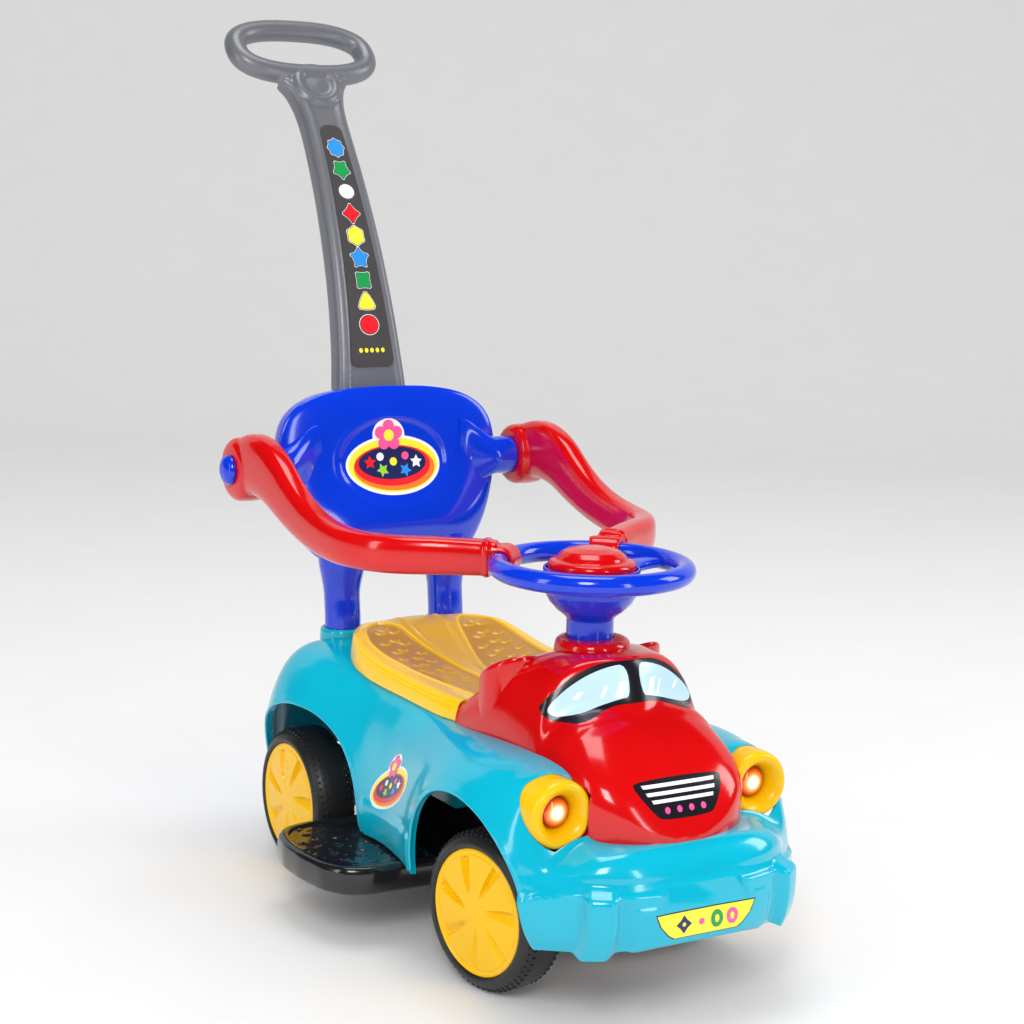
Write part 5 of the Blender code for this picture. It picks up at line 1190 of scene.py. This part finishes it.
def build_footrests():
    out = foot_outline()
    c = np.array([0.135, 0.018])
    rows = []
    for z, k in ((0.0470, 0.965), (0.0480, 0.98), (0.0500, 0.990), (0.0600, 0.998), (0.0670, 0.995), (0.0695, 0.985), (0.0712, 0.968), (0.0721, 0.945), (0.0722, 0.90), (0.0722, 0.865), (0.0716, 0.855), (0.0706, 0.850), (0.0702, 0.84)):
        rows.append(np.concatenate([c + (out - c) * k, np.full((len(out), 1), z)], 1))
    inner = np.linspace(0.83, 0.02, 90)
    leaves = []
    for i in range(7):
        for j in range(5):
            x0 = 0.100 + 0.0205 * j + (0.006 if i % 2 else 0)
            y0 = -0.040 + 0.0195 * i
            leaves.append((x0, y0, 0.7 * (i + j) % 3.1))
    for k in inner:
        p = c + (out - c) * k
        z = np.full(len(p), 0.0702)
        for x0, y0, ang in leaves:
            dx, dy = p[:, 0] - x0, p[:, 1] - y0
            for b in (-0.75, 0.0, 0.75):
                ca, sa = math.cos(ang + b), math.sin(ang + b)
                u, w = dx * ca + dy * sa - 0.0042, -dx * sa + dy * ca
                z += 0.0010 * np.exp(-((u / 0.0034) ** 2 + (w / 0.0014) ** 2) ** 2)
            z += 0.0008 * np.exp(-(((dx + 0.0045) / 0.0014) ** 2 + ((dy + 0.0065) / 0.0014) ** 2) ** 2)
        rows.append(np.concatenate([p, z[:, None]], 1))
    rows = np.array(rows)
    n, m = rows.shape[:2]
    faces = tube_faces(n, m)
    for s, tag in ((1, "left"), (-1, "right")):
        mesh_object("footrest_skin_" + tag, (rows * np.array([s, 1, 1])).reshape(-1, 3), faces, BLACK, "car", ("footrest_" + tag,), smooth=50)


# ------------------------------------------------------------------ camera, light, floor
def build_stage():
    cam_data = bpy.data.cameras.new("camera")
    cam_data.sensor_width, cam_data.lens = 36.0, 75.826
    cam_data.clip_start, cam_data.clip_end = 0.05, 50
    cam = bpy.data.objects.new("camera", cam_data)
    a, e, r = -0.544613, 0.165743, 0.0270458
    back = Vector((math.sin(a) * math.cos(e), -math.cos(a) * math.cos(e), math.sin(e)))
    right = (-back).cross(Vector((0, 0, 1))).normalized()
    up = right.cross(-back)
    r2 = math.cos(r) * right + math.sin(r) * up
    u2 = -math.sin(r) * right + math.cos(r) * up
    m = Matrix((r2, u2, back)).transposed().to_4x4()
    m.translation = Vector((-1.014496, -1.699903 + YS, 0.708060))
    cam.matrix_world = m
    bpy.context.scene.collection.objects.link(cam)
    bpy.context.scene.camera = cam
    # floor that runs level and then curves up far behind the object
    away = np.array([0.518, 0.855])
    along = np.array([0.855, -0.518])
    prof = [(-8.0, 0.0)] + [(t, 0.0) for t in np.linspace(-6, 3.0, 10)]
    prof += [(3.0 + 2.5 * math.sin(t), 2.5 - 2.5 * math.cos(t)) for t in np.linspace(0.05, math.pi / 2, 24)] + [(5.5, 7.0)]
    verts = [(*(away * t + along * k), z) for t, z in prof for k in (-9.0, 9.0)]
    faces = [(2 * i, 2 * i + 1, 2 * i + 3, 2 * i + 2) for i in range(len(prof) - 1)]
    mesh = bpy.data.meshes.new("studio_floor")
    mesh.from_pydata(verts, [], faces)
    mesh.polygons.foreach_set("use_smooth", [True] * len(faces))
    floor = bpy.data.objects.new("studio_floor", mesh)
    bpy.context.scene.collection.objects.link(floor)
    white = plastic("floor_white", (0.80, 0.80, 0.80), 0.7, vary=0.01, grain=0.0, coat=0.0, specular=0.2)
    mesh.materials.append(white)
    world = bpy.data.worlds.new("studio")
    bpy.context.scene.world = world
    world.use_nodes = True
    world.node_tree.nodes["Background"].inputs["Color"].default_value = (1, 1, 1, 1)
    world.node_tree.nodes["Background"].inputs["Strength"].default_value = 0.78
    world.cycles_visibility.glossy = False
    bpy.context.scene.view_settings.view_transform = "Standard"

    def area(name, where, target, size, power, size_y=None):
        light = bpy.data.lights.new(name, "AREA")
        light.energy, light.size, light.shape = power, size, "RECTANGLE"
        light.size_y = size_y or size
        obj = bpy.data.objects.new(name, light)
        obj.location = where
        obj.rotation_euler = (Vector(target) - Vector(where)).to_track_quat("-Z", "Y").to_euler()
        bpy.context.scene.collection.objects.link(obj)

    area("key", (-1.7, -2.3, 2.2), (0, -0.05, 0.3), 0.8, 40, 1.3)
    area("fill", (2.6, -1.2, 1.6), (0, -0.05, 0.3), 0.9, 24, 1.6)
    area("top", (0.1, 0.2, 2.8), (0, 0.0, 0.3), 1.2, 20, 1.2)
    area("side", (-2.6, -0.3, 1.1), (0, 0.0, 0.3), 0.5, 12, 1.8)
    area("strip", (0.3, -2.9, 0.9), (0, -0.05, 0.3), 0.30, 10, 1.5)


build_stage()
BODY = build_body()
HOOD = build_hood()
build_seat()
SHIELD = build_backrest()
HANDLE_PANEL = build_handle()
for side, tag in ((1, "left"), (-1, "right")):
    build_arm(side, tag)
build_steering()
build_wheels()
build_lamps()
build_footrests()
build_stickers(HOOD, BODY, SHIELD, HANDLE_PANEL)
for name, mat in (("chassis_base", CHASSIS), ("steering_yoke", CHASSIS), ("battery_box", CHASSIS), ("battery_door", CHASSIS), ("storage_bin", CYAN),
                  ("horn_spring", STEEL), ("steering_shaft", STEEL), ("front_axle", STEEL), ("rear_axle", STEEL), ("pivot_pin_left", STEEL), ("pivot_pin_right", STEEL)):
    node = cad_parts[name]
    node.data.materials.clear()
    node.data.materials.append(mat)
